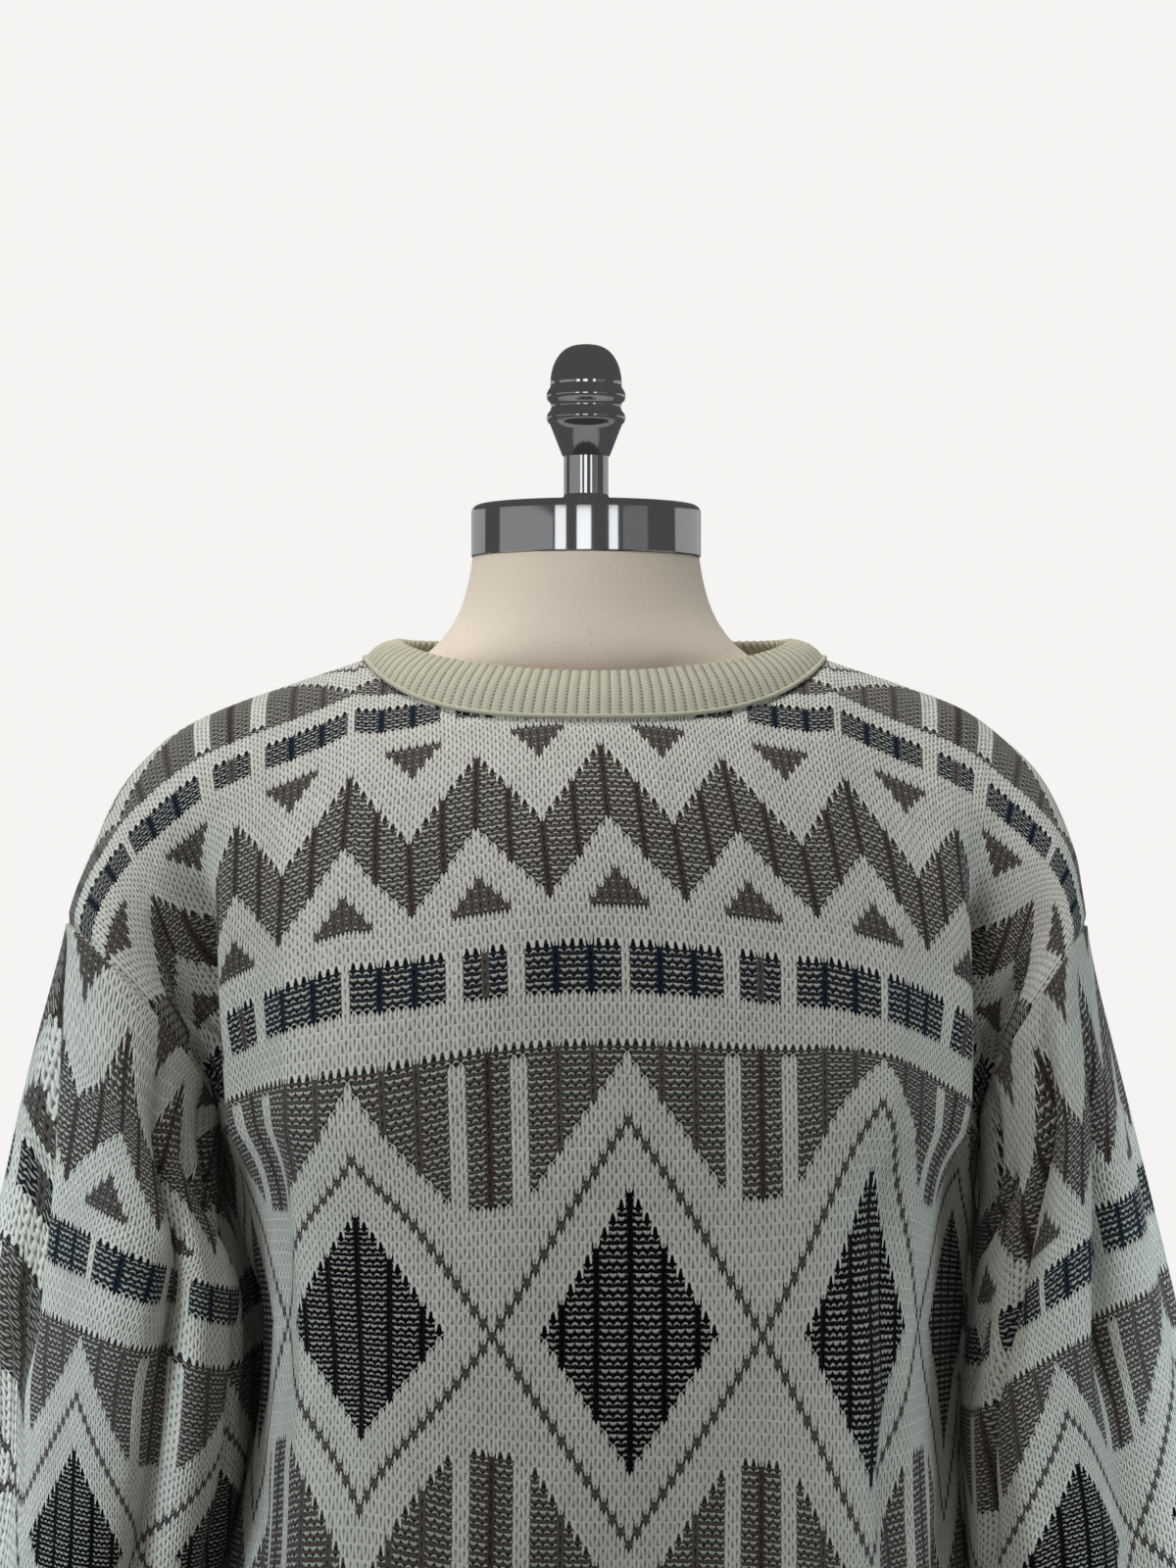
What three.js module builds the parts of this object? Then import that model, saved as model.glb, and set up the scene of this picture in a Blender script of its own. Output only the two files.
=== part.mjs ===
// An oversized drop-shoulder pullover worn by a limbless dress form on a counter stand.
// Millimetres, +Z up. The chest faces -Y, the wearer's right is -X and left is +X.
// The origin is the centre of the base's underside.
import * as THREE from 'three';

// ---------------------------------------------------------------- driving dimensions

const cloth = {
  wall: 2.2,
  seamGap: 0.36,
  halfChest: 300,
  neckHalfWidth: 102,
  shoulderSlope: 35,
  underarm: 265,
  ribTop: 615,
  length: 680,
  frontNeckDrop: 74,
  backNeckDrop: 18,
  smoothChest: 140,
  seamLift: 12,
};

const stand = {
  baseRadius: 140,
  baseHeight: 13,
  poleRadius: 15,
  collarRadius: 34,
  collarHeight: 9,
  formBottom: 115,
  formTop: 803.5,
  joinGap: 0.3,
  baseEdge: 5,
  poleEdge: 1,
  collarEdge: 3,
};

const neckCap = { radius: 52.5, height: 23.5, edge: 3.5 };
const finial = { stemHeight: 22.2, knobHeight: 50.9, domeRadius: 16.4, domeFoot: 32.5 };

// How finely the cloth is divided: steps round a quarter of the neck, rows down to the
// underarm, rows below it, and rows of a ribbed end.
const across = { neckSteps: 6, sleeveSteps: 11, lowerSteps: 6, ribSteps: 2 };
const shoulderColumns = [124, 148, 170, 185, 197, 210, 230, 262];

const colours = {
  knit: 0xc4c6bc,
  rib: 0xd8d4bc,
  linen: 0xe0d3c2,
  chrome: 0x9a9c9e,
};

// A table is a heading of column names and one row of numbers for each section.
function table(heading, ...rows) {
  const names = heading.split(' ');
  return rows.map((row) => Object.fromEntries(names.map((name, i) => [name, row[i]])));
}

// Shoulder seam: distance from the centre across the panel, and where each side's seam lies.
const shoulderSeam = table(
  'across rightX rightZ leftX leftZ',
  [102, -102, 757, 110, 757],
  [140, -137, 745, 145, 745],
  [170, -165, 735, 173, 734],
  [195, -187, 724, 193, 719],
  [215, -202, 711, 206, 706],
  [235, -214, 695, 215, 690],
  [260, -224, 671, 222, 668],
  [280, -231, 652, 225, 650],
  [300, -236, 634, 227, 633],
);

// Body tube below the underarm: half widths, depths and heights of each course,
// by the distance down from the shoulder.
const bodyRings = table(
  'down right left front back frontZ backZ sideZ',
  [265, 166, 178, 115, 104, 553, 536, 540],
  [283, 157, 168, 116, 105, 535, 518, 523],
  [310, 151, 163, 116, 106, 508, 491, 497],
  [360, 147, 160, 118, 109, 458, 442, 447],
  [440, 152, 162, 121, 112, 378, 363, 369],
  [540, 167, 171, 124, 118, 278, 266, 271],
  [615, 174, 176, 125, 120, 203, 193, 197],
  [680, 162, 165, 117, 112, 138, 129, 133],
);

// Sleeve rings: distance down the sleeve, the outer and underarm lines of the ring,
// its reach to the front and back, and how far it wraps in round the body.
const sleeveRings = {
  right: table(
    'along outX outZ inX inZ reach wrap',
    [0, -236, 634, -166, 540, 76, 0],
    [22, -242, 613, -171, 525, 76, 4],
    [50, -249, 586, -169, 508, 75, 12],
    [110, -264, 526, -161, 462, 72, 25],
    [180, -281, 458, -163, 408, 68, 24],
    [260, -299, 380, -174, 345, 62, 18],
    [340, -312, 301, -194, 276, 56, 12],
    [400, -317, 241, -210, 226, 51, 6],
    [440, -313, 201, -222, 192, 42, 0],
    [455, -301, 186, -231, 179, 30, 0],
    [522, -297, 119, -233, 112, 27, 0],
  ),
  left: table(
    'along outX outZ inX inZ reach wrap',
    [0, 227, 633, 178, 540, 76, 0],
    [22, 232, 612, 183, 525, 76, 0],
    [50, 240, 583, 184, 507, 75, 3],
    [110, 255, 524, 180, 462, 72, 12],
    [180, 272, 449, 174, 405, 68, 20],
    [260, 288, 371, 179, 342, 62, 16],
    [340, 300, 292, 193, 272, 56, 12],
    [400, 304, 232, 203, 222, 51, 6],
    [440, 300, 192, 213, 186, 42, 0],
    [455, 289, 178, 221, 172, 30, 0],
    [522, 285, 111, 223, 105, 27, 0],
  ),
};
const cuffTop = 455;
const cuffEnd = 522;

// Neck: the line across between the shoulder points, the lengths of cloth cut away in front
// and behind it, and the inner edge of the ribbed band.
const neck = {
  centreX: 4,
  halfWidth: 106,
  seamY: 6,
  sideZ: 757,
  middleZ: 759,
  cutFront: 86,
  cutBack: 70,
  bandDome: 2.5,
};
const bandInner = { halfWidth: 89, front: 63, back: 56, sideZ: 767, frontZ: 748, backZ: 768 };

// Creases: troughs pressed into the cloth, placed by distance across and down the panel.
const armpitCrease = {
  across: 197, drift: 0.05, width: 16, depth: 20, from: 108, full: 215, fade: 55,
};
const bodyFolds = table(
  'face across from to width depth',
  [-1, 138, 270, 560, 26, 9],
  [-1, -212, 290, 640, 26, 13],
  [-1, 232, 300, 640, 26, 12],
  [1, -48, 270, 640, 30, 12],
  [1, 66, 300, 620, 34, 13],
  [1, -165, 280, 640, 32, 14],
  [1, 178, 270, 630, 30, 13],
);
const sleeveFolds = table(
  'side turn from to width depth',
  [-1, 0.16, 40, 420, 0.05, 10],
  [-1, 0.36, 60, 330, 0.045, 9],
  [-1, 0.72, 90, 400, 0.06, 12],
  [1, 0.2, 60, 400, 0.05, 10],
  [1, 0.38, 30, 300, 0.045, 8],
  [1, 0.7, 80, 380, 0.06, 12],
);

// Dress form: half width and depths of each level section; a low roundness gives a ridge.
const formSections = table(
  'height halfWidth front back roundness',
  [115, 158, 88, 88, 2.2],
  [135, 160, 90, 91, 2.2],
  [240, 153, 92, 97, 2.2],
  [330, 132, 84, 88, 2.2],
  [415, 118, 80, 76, 2.2],
  [480, 126, 88, 78, 2.2],
  [545, 142, 102, 84, 2.2],
  [590, 152, 104, 86, 2.2],
  [630, 160, 97, 82, 2.1],
  [670, 170, 82, 72, 2.0],
  [700, 175, 66, 58, 1.9],
  [715, 172, 56, 51, 1.75],
  [726, 160, 50, 48, 1.6],
  [735, 138, 48, 48, 1.5],
  [744, 108, 48, 50, 1.5],
  [752, 84, 50, 52, 1.8],
  [762, 69, 52, 55, 2.0],
  [775, 59, 51, 52, 2.0],
  [790, 54, 51.5, 51.5, 2.0],
  [803.5, 52, 52, 52, 2.0],
);

// ---------------------------------------------------------------- curves through tables

function clamp(value, low, high) {
  return Math.min(high, Math.max(low, value));
}

function ease(from, to, value) {
  const t = clamp((value - from) / (to - from), 0, 1);
  return t * t * (3 - 2 * t);
}

function mix(a, b, t) {
  return a + (b - a) * t;
}

// A smooth cubic through the rows of a table, held at its first and last rows.
function at(rows, key, value) {
  const last = rows.length - 1;
  const v = clamp(value, rows[0][key], rows[last][key]);
  let i = rows.findIndex((row, n) => n < last && v <= rows[n + 1][key]);
  i = Math.max(0, i);
  const a = rows[Math.max(0, i - 1)];
  const b = rows[i];
  const c = rows[i + 1];
  const d = rows[Math.min(last, i + 2)];
  const span = c[key] - b[key];
  const t = (v - b[key]) / span;
  const found = {};
  for (const name of Object.keys(b)) {
    const slopeB = ((c[name] - a[name]) / (c[key] - a[key])) * span;
    const slopeC = ((d[name] - b[name]) / (d[key] - b[key])) * span;
    found[name] = hermite(b[name], c[name], slopeB, slopeC, t);
  }
  return found;
}

function hermite(a, b, slopeA, slopeB, t) {
  const tt = t * t;
  const ttt = tt * t;
  return a * (2 * ttt - 3 * tt + 1) + slopeA * (ttt - 2 * tt + t)
    + b * (3 * tt - 2 * ttt) + slopeB * (ttt - tt);
}

function hermitePoint(a, b, slopeA, slopeB, t) {
  return new THREE.Vector3(
    hermite(a.x, b.x, slopeA.x, slopeB.x, t),
    hermite(a.y, b.y, slopeA.y, slopeB.y, t),
    hermite(a.z, b.z, slopeA.z, slopeB.z, t),
  );
}

// The point a share of the way along a chain of points, by length.
function byLength(points) {
  const lengths = [0];
  for (let i = 1; i < points.length; i += 1) {
    lengths.push(lengths[i - 1] + points[i].distanceTo(points[i - 1]));
  }
  const total = lengths[lengths.length - 1];
  const point = (distance) => {
    const d = clamp(distance, 0, total);
    let i = 1;
    while (i < points.length - 1 && lengths[i] < d) i += 1;
    const t = (d - lengths[i - 1]) / Math.max(1e-9, lengths[i] - lengths[i - 1]);
    return points[i - 1].clone().lerp(points[i], t);
  };
  return { total, point };
}

// ---------------------------------------------------------------- the garment's surface

// Every panel point is named by its face (-1 front, 1 back), its distance across from the
// centre (negative on the wearer's right) and its distance down from the shoulder.

const ringSteps = 40;
const ringRoundness = 2.35;

// Quarter of a body ring from the centre to the side seam, as a chain of points.
function ringQuarter(ring, face, side) {
  const halfWidth = side < 0 ? ring.right : ring.left;
  const depth = face < 0 ? ring.front : ring.back;
  const points = [];
  for (let i = 0; i <= ringSteps; i += 1) {
    const angle = (i / ringSteps) * Math.PI / 2;
    const x = side * halfWidth * Math.sin(angle) ** (2 / ringRoundness);
    const y = face * depth * Math.cos(angle) ** (2 / ringRoundness);
    points.push(new THREE.Vector3(x, y, 0));
  }
  return byLength(points);
}

function bodyPoint(face, acrossPanel, down) {
  const ring = at(bodyRings, 'down', down);
  const side = acrossPanel < 0 ? -1 : 1;
  const u = Math.abs(acrossPanel);
  const quarter = ringQuarter(ring, face, side);
  const beyond = Math.max(0, u - cloth.smoothChest) / (cloth.halfChest - cloth.smoothChest);
  const flat = Math.min(u, cloth.smoothChest);
  const point = quarter.point(mix(flat, quarter.total, beyond));
  const middleZ = face < 0 ? ring.frontZ : ring.backZ;
  point.z = mix(middleZ, ring.sideZ, (u / cloth.halfChest) ** 2);
  const inward = new THREE.Vector3(-point.x, -point.y, 0).normalize();
  return point.addScaledVector(inward, foldDepth(face, acrossPanel, down));
}

function foldDepth(face, acrossPanel, down) {
  let depth = 0;
  for (const fold of bodyFolds) {
    if (fold.face !== face) continue;
    const ends = ease(fold.from, fold.from + 60, down) * (1 - ease(fold.to - 60, fold.to, down));
    depth += fold.depth * ends * Math.exp(-(((acrossPanel - fold.across) / fold.width) ** 2));
  }
  return depth;
}

// The line that every wale starts from: the shoulder seam, carried on across the neck.
function seamPoint(side, u) {
  if (u < cloth.neckHalfWidth) {
    const share = u / cloth.neckHalfWidth;
    const x = neck.centreX + side * neck.halfWidth * share;
    return new THREE.Vector3(x, neck.seamY, mix(neck.middleZ, neck.sideZ, share ** 2));
  }
  const seam = at(shoulderSeam, 'across', u);
  const x = side < 0 ? seam.rightX : seam.leftX;
  const z = side < 0 ? seam.rightZ : seam.leftZ;
  const y = neck.seamY * (1 - ease(cloth.neckHalfWidth, cloth.halfChest, u));
  return new THREE.Vector3(x, y, z);
}

// How much of a wale the neck cut takes away.
function neckCut(face, u) {
  if (u >= cloth.neckHalfWidth) return 0;
  const middle = face < 0 ? neck.cutFront : neck.cutBack;
  return middle * Math.sqrt(1 - (u / cloth.neckHalfWidth) ** 2);
}

// The knit's distance down from the shoulder at the top edge of a panel.
function topOfPanel(face, u) {
  if (u >= cloth.neckHalfWidth) {
    const run = (u - cloth.neckHalfWidth) / (cloth.halfChest - cloth.neckHalfWidth);
    return cloth.shoulderSlope * run;
  }
  const drop = face < 0 ? cloth.frontNeckDrop : cloth.backNeckDrop;
  return drop * Math.sqrt(1 - (u / cloth.neckHalfWidth) ** 2);
}

// How each wale leaves the shoulder line and comes down to the underarm level.
const wales = {
  steps: 28,
  lobePull: 305,
  hangPull: 180,
  napeLift: 120,
  closeFrom: 200,
  closePull: 260,
  closeHang: 120,
  front: { middlePull: 370, shoulderPull: 180 },
  back: { middlePull: 300, shoulderPull: 165 },
};

// The whole wale from the shoulder line to the level of the underarm.
function wale(face, side, u) {
  const lobe = ease(190, cloth.halfChest, u);
  const overShoulder = ease(0, 150, u);
  const { middlePull, shoulderPull } = face < 0 ? wales.front : wales.back;
  const leaving = mix(mix(middlePull, shoulderPull, overShoulder), wales.lobePull, lobe);
  const start = seamPoint(side, u);
  const lift = face < 0 ? 0 : wales.napeLift * (1 - overShoulder);
  const startPull = new THREE.Vector3(0, face * leaving, lift);
  const closing = clamp((u - wales.closeFrom) / (cloth.halfChest - wales.closeFrom), 0, 1) ** 3;
  const end = bodyPoint(face, side * u, cloth.underarm);
  const endPull = new THREE.Vector3(
    0, -face * wales.closePull * closing, -mix(wales.hangPull, wales.closeHang, closing));
  const points = [];
  for (let i = 0; i <= wales.steps; i += 1) {
    points.push(hermitePoint(start, end, startPull, endPull, i / wales.steps));
  }
  return byLength(points);
}

// A panel point above the underarm: share 0 is the panel's top edge and 1 the underarm level.
function upperPoint(face, acrossPanel, share) {
  const side = acrossPanel < 0 ? -1 : 1;
  const u = Math.abs(acrossPanel);
  const chain = wale(face, side, u);
  const point = chain.point(mix(neckCut(face, u), chain.total, share));
  const down = mix(topOfPanel(face, u), cloth.underarm, share);
  const middle = armpitCrease.across + armpitCrease.drift * (down - armpitCrease.from);
  const grown = ease(armpitCrease.from, armpitCrease.full, down);
  const near = Math.exp(-(((u - middle) / armpitCrease.width) ** 2));
  const closing = 1 - ease(cloth.underarm - armpitCrease.fade, cloth.underarm, down);
  point.y -= face * armpitCrease.depth * grown * near * closing;
  point.z += cloth.seamLift * ease(210, cloth.halfChest, u) * Math.sin(Math.PI * share);
  return point;
}

// The neck edge by turn, which is 0 at the centre and a quarter circle at the shoulder.
function neckEdge(face, side, turn) {
  return upperPoint(face, side * cloth.neckHalfWidth * Math.sin(turn), 0);
}

function bandEdge(face, side, turn) {
  const middleZ = face < 0 ? bandInner.frontZ : bandInner.backZ;
  const depth = face < 0 ? bandInner.front : bandInner.back;
  return new THREE.Vector3(
    neck.centreX + side * bandInner.halfWidth * Math.sin(turn),
    neck.seamY + face * depth * Math.cos(turn),
    mix(bandInner.sideZ, middleZ, Math.cos(turn) ** 1.3),
  );
}

// ---------------------------------------------------------------- walls from grids

// The way into the garment, square to the grid.
function gridNormal(grid, i, j, closed) {
  const rows = grid.length;
  const columns = grid[0].length;
  const up = grid[Math.max(0, i - 1)][j];
  const below = grid[Math.min(rows - 1, i + 1)][j];
  const before = closed ? grid[i][(j - 1 + columns) % columns] : grid[i][Math.max(0, j - 1)];
  const after = closed ? grid[i][(j + 1) % columns] : grid[i][Math.min(columns - 1, j + 1)];
  const downward = below.clone().sub(up);
  const sideways = after.clone().sub(before);
  return sideways.cross(downward).normalize();
}

// A closed wall on a grid of points: its outer face is the grid, and its inner face lies
// one wall inside. inward(i, j) gives the way in at a seam, so that both pieces agree, and
// nothing where the grid's own normal does.
function wall(grid, { closed = false, inward }) {
  const rows = grid.length;
  const columns = grid[0].length;
  const outer = grid.flat();
  const inner = outer.map((point, n) => {
    const i = Math.floor(n / columns);
    const j = n % columns;
    const way = inward(i, j) || gridNormal(grid, i, j, closed);
    return point.clone().addScaledVector(way, cloth.wall);
  });
  const index = (i, j) => i * columns + (j % columns);
  const within = outer.length;
  const faces = [];
  const quad = (a, b, c, d) => faces.push(a, b, c, a, c, d);
  const lastColumn = closed ? columns : columns - 1;
  for (let i = 0; i < rows - 1; i += 1) {
    for (let j = 0; j < lastColumn; j += 1) {
      const [a, b, c, d] = [index(i, j), index(i, j + 1), index(i + 1, j + 1), index(i + 1, j)];
      quad(a, b, c, d);
      quad(within + a, within + d, within + c, within + b);
    }
  }
  for (let j = 0; j < lastColumn; j += 1) {
    const top = [index(0, j), index(0, j + 1)];
    const foot = [index(rows - 1, j), index(rows - 1, j + 1)];
    quad(top[1], top[0], within + top[0], within + top[1]);
    quad(foot[0], foot[1], within + foot[1], within + foot[0]);
  }
  for (let i = 0; i < rows - 1 && !closed; i += 1) {
    const near = [index(i, 0), index(i + 1, 0)];
    const far = [index(i, columns - 1), index(i + 1, columns - 1)];
    quad(near[0], near[1], within + near[1], within + near[0]);
    quad(far[1], far[0], within + far[0], within + far[1]);
  }
  return bodyOf(outer.concat(inner), faces);
}

// A mesh from shared points, turned so that its faces point out.
function bodyOf(points, faces) {
  let volume = 0;
  for (let n = 0; n < faces.length; n += 3) {
    const [a, b, c] = [points[faces[n]], points[faces[n + 1]], points[faces[n + 2]]];
    volume += a.dot(b.clone().cross(c));
  }
  const turned = volume > 0 ? faces : [...faces].reverse();
  const geometry = new THREE.BufferGeometry();
  geometry.setAttribute('position', new THREE.Float32BufferAttribute(
    points.flatMap((point) => point.toArray()), 3));
  geometry.setIndex(turned);
  geometry.computeVertexNormals();
  return geometry;
}

// ---------------------------------------------------------------- columns and rows shared by pieces

const gap = cloth.seamGap / 2;

// Distances across a half panel: even turns round the neck, then steps along the shoulder.
function halfColumns() {
  const columns = [];
  for (let i = 0; i < across.neckSteps; i += 1) {
    const turn = (i / across.neckSteps) * Math.PI / 2;
    columns.push(cloth.neckHalfWidth * Math.sin(turn));
  }
  return [...columns, cloth.neckHalfWidth, ...shoulderColumns, cloth.halfChest];
}

const rightwards = halfColumns();
const columns = [...rightwards.slice(1).reverse().map((u) => -u), ...rightwards];

function shareOfRow(step) {
  return step / across.sleeveSteps;
}

function nudged(value, limit) {
  return Math.sign(value) * Math.min(Math.abs(value), limit);
}

// The panel's edge at the armhole, which the sleeve's first ring repeats.
function armholeEdge(face, side, share) {
  return upperPoint(face, side * cloth.halfChest, share);
}

function armholeCentre(side) {
  return armholeEdge(-1, side, 0).add(armholeEdge(-1, side, 1)).multiplyScalar(0.5);
}

// A point of the armhole seam, with the way into the garment there and the way across the
// seam to the panel, both square to the seam.
function armholeSeam(face, side, share) {
  const step = 0.02;
  const point = armholeEdge(face, side, share);
  const along = armholeEdge(face, side, Math.min(1, share + step))
    .sub(armholeEdge(face, side, Math.max(0, share - step))).normalize();
  const straightUp = new THREE.Vector3(0, 0, 1);
  const inward = armholeCentre(side).sub(point).normalize();
  inward.addScaledVector(along, -inward.dot(along)).normalize();
  inward.lerp(straightUp, ease(0.7, 1, share)).normalize();
  const toPanel = along.cross(inward).normalize().multiplyScalar(face * side);
  return { point, inward, toPanel };
}

// The way in at the neck seam: square to the wale and to the edge.
function neckInward(face, side, turn) {
  const step = 0.04;
  const low = Math.max(0, turn - step);
  const high = Math.min(Math.PI / 2, turn + step);
  const along = neckEdge(face, side, high).sub(neckEdge(face, side, low));
  const rise = bandEdge(face, side, turn).sub(neckEdge(face, side, turn));
  const way = along.cross(rise).normalize();
  return way.z > 0 ? way.negate() : way;
}

function shoulderInward(side, u) {
  const along = seamPoint(side, u + 2).sub(seamPoint(side, u - 2));
  const way = new THREE.Vector3(along.z, 0, -along.x).normalize();
  return way.z > 0 ? way.negate() : way;
}

// ---------------------------------------------------------------- garment pieces

function panelGrid(face) {
  const grid = [];
  for (let step = 0; step <= across.sleeveSteps; step += 1) {
    grid.push(columns.map((column) => {
      const u = Math.abs(column);
      const run = (cloth.underarm - topOfPanel(face, u));
      const share = Math.max(shareOfRow(step), gap / run);
      if (u < cloth.halfChest) return upperPoint(face, column, share);
      const seam = armholeSeam(face, Math.sign(column), share);
      if (share === 1) seam.point.y += face * 2 * gap;
      return seam.point.addScaledVector(seam.toPanel, gap);
    }));
  }
  for (let step = 1; step <= across.lowerSteps; step += 1) {
    const end = cloth.ribTop - gap;
    const down = mix(cloth.underarm, end, step / across.lowerSteps);
    grid.push(columns.map((column) => bodyPoint(face, nudged(column, cloth.halfChest - gap), down)));
  }
  return grid;
}

// The way in where a panel meets its ribbed hem: level, and square to the row of knitting.
function levelInward(row, j) {
  const along = row[Math.min(row.length - 1, j + 1)].clone().sub(row[Math.max(0, j - 1)]);
  return along.cross(new THREE.Vector3(0, 0, -1)).normalize();
}

function panelInward(face, grid) {
  return (i, j) => {
    const column = columns[j];
    const side = column < 0 ? -1 : 1;
    const u = Math.abs(column);
    if (u === cloth.halfChest) {
      if (i <= across.sleeveSteps) return armholeSeam(face, side, shareOfRow(i)).inward;
      return new THREE.Vector3(-side, 0, 0);
    }
    if (i === grid.length - 1) return levelInward(grid[i], j).multiplyScalar(-face);
    if (i > 0) return null;
    if (u >= cloth.neckHalfWidth - 1e-6) return shoulderInward(side, u);
    return neckInward(face, side, Math.asin(u / cloth.neckHalfWidth));
  };
}

function panel(face) {
  const grid = panelGrid(face);
  const outward = face < 0 ? grid : grid.map((row) => [...row].reverse());
  const inward = panelInward(face, grid);
  const lastColumn = columns.length - 1;
  return wall(outward, {
    inward: (i, j) => inward(i, face < 0 ? j : lastColumn - j),
  });
}

// Two quarters of a sleeve ring, front then back, from the shoulder round under the arm.
function sleeveTurns() {
  const turns = [];
  for (let step = 0; step < across.sleeveSteps; step += 1) turns.push({ face: -1, share: shareOfRow(step) });
  for (let step = across.sleeveSteps; step > 0; step -= 1) turns.push({ face: 1, share: shareOfRow(step) });
  return turns;
}

function sleeveFoldDepth(side, turn, along) {
  let depth = 0;
  for (const fold of sleeveFolds) {
    if (fold.side !== side) continue;
    const ends = ease(fold.from, fold.from + 50, along) * (1 - ease(fold.to - 70, fold.to, along));
    depth += fold.depth * ends * Math.exp(-(((turn - fold.turn) / fold.width) ** 2));
  }
  return depth;
}

function sleevePoint(side, { face, share }, along) {
  const ring = at(side < 0 ? sleeveRings.right : sleeveRings.left, 'along', along);
  const out = new THREE.Vector3(ring.outX, 0, ring.outZ);
  const under = new THREE.Vector3(ring.inX, 0, ring.inZ);
  const centre = out.clone().add(under).multiplyScalar(0.5);
  const angle = share * Math.PI;
  const point = centre.clone().addScaledVector(out.sub(centre), Math.cos(angle));
  point.y = face * ring.reach * Math.sin(angle);
  point.x -= side * ring.wrap * Math.sin(angle) ** 2;
  const turn = face < 0 ? share / 2 : 1 - share / 2;
  const inward = centre.sub(point).normalize();
  point.addScaledVector(inward, sleeveFoldDepth(side, turn, along));
  const joined = ease(0, 45, along);
  return armholeEdge(face, side, share).lerp(point, joined);
}

const sleeveRows = [0, 22, 50, 80, 110, 145, 180, 220, 260, 300, 340, 380, 415, 438, cuffTop];

function tube(side, rows) {
  const turns = sleeveTurns();
  const grid = rows.map((along) => turns.map((turn) => sleevePoint(side, turn, along)));
  return side < 0 ? grid : grid.map((row) => [...row].reverse());
}

// The way in where a sleeve meets its cuff: towards the middle of the ring.
function cuffInward(side, point) {
  const ring = at(side < 0 ? sleeveRings.right : sleeveRings.left, 'along', cuffTop);
  const middle = new THREE.Vector3((ring.outX + ring.inX) / 2, 0, (ring.outZ + ring.inZ) / 2);
  return middle.sub(point).normalize();
}

function sleeve(side) {
  const rows = [...sleeveRows];
  rows[rows.length - 1] = cuffTop - gap;
  const grid = tube(side, rows);
  const turns = side < 0 ? sleeveTurns() : sleeveTurns().reverse();
  const seams = turns.map(({ face, share }) => armholeSeam(face, side, share));
  grid[0] = seams.map((seam) => seam.point.addScaledVector(seam.toPanel, -gap));
  const inward = (i, j) => {
    if (i === 0) return seams[j].inward;
    return i === rows.length - 1 ? cuffInward(side, grid[i][j]) : null;
  };
  return wall(grid, { closed: true, inward });
}

function cuff(side) {
  const rows = [cuffTop + gap, mix(cuffTop, cuffEnd, 0.5), cuffEnd];
  const grid = tube(side, rows);
  const inward = (i, j) => (i === 0 ? cuffInward(side, grid[i][j]) : null);
  return wall(grid, { closed: true, inward });
}

function hem(face) {
  const grid = [];
  for (let step = 0; step <= across.ribSteps; step += 1) {
    const down = mix(cloth.ribTop + gap, cloth.length, step / across.ribSteps);
    grid.push(columns.map((column) => bodyPoint(face, nudged(column, cloth.halfChest - gap), down)));
  }
  const ordered = face < 0 ? grid : grid.map((row) => [...row].reverse());
  const last = columns.length - 1;
  const inward = (i, j) => {
    if (j === 0 || j === last) return new THREE.Vector3(-Math.sign(ordered[i][j].x), 0, 0);
    return i === 0 ? levelInward(ordered[i], j) : null;
  };
  return wall(ordered, { inward });
}

// The neckband: a ring of ribbing, folded double, that rises inward from the neck cut.
function neckband() {
  const turns = [];
  const quarter = across.neckSteps;
  for (const [face, side] of [[-1, 1], [1, 1], [1, -1], [-1, -1]]) {
    for (let step = 0; step < quarter; step += 1) {
      const climbing = face * side < 0;
      const turn = ((climbing ? step : quarter - step) / quarter) * Math.PI / 2;
      turns.push({ face, side, turn });
    }
  }
  const shares = [0, 0.5, 1];
  const grid = shares.map((share) => turns.map(({ face, side, turn }) => {
    const low = neckEdge(face, side, turn);
    const high = bandEdge(face, side, turn);
    const out = neckInward(face, side, turn).negate();
    const start = share === 0 ? gap / high.distanceTo(low) : share;
    return low.lerp(high, start).addScaledVector(out, neck.bandDome * Math.sin(Math.PI * start));
  }));
  const inward = (i, j) => neckInward(turns[j].face, turns[j].side, turns[j].turn);
  return wall(grid, { closed: true, inward });
}

// ---------------------------------------------------------------- dress form and stand

function formTorso() {
  const around = 40;
  const heights = formSections.map((section) => section.height);
  const levels = heights.flatMap((height, i) => (
    i + 1 < heights.length && heights[i + 1] - height > 50
      ? [height, (height + heights[i + 1]) / 2] : [height]));
  const grid = levels.map((height) => {
    const section = at(formSections, 'height', height);
    return Array.from({ length: around }, (_, j) => {
      const angle = (j / around) * 2 * Math.PI;
      const power = 2 / section.roundness;
      const x = Math.abs(Math.cos(angle)) ** power * Math.sign(Math.cos(angle));
      const y = Math.abs(Math.sin(angle)) ** power * Math.sign(Math.sin(angle));
      const depth = y < 0 ? section.front : section.back;
      return new THREE.Vector3(x * section.halfWidth, y * depth, height);
    });
  });
  const points = grid.flat();
  const bottom = points.push(new THREE.Vector3(0, 0, levels[0])) - 1;
  const top = points.push(new THREE.Vector3(0, 0, levels[levels.length - 1])) - 1;
  const faces = [];
  const rows = grid.length;
  for (let j = 0; j < around; j += 1) {
    const next = (j + 1) % around;
    faces.push(bottom, next, j);
    faces.push(top, (rows - 1) * around + j, (rows - 1) * around + next);
    for (let i = 0; i < rows - 1; i += 1) {
      const [a, b] = [i * around + j, i * around + next];
      faces.push(a, b, b + around, a, b + around, a + around);
    }
  }
  return bodyOf(points, faces);
}

function lathe(profile, segments) {
  const points = profile.map(([radius, height]) => new THREE.Vector2(radius, height));
  const geometry = new THREE.LatheGeometry(points, segments);
  geometry.rotateX(Math.PI / 2);
  return geometry;
}

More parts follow.
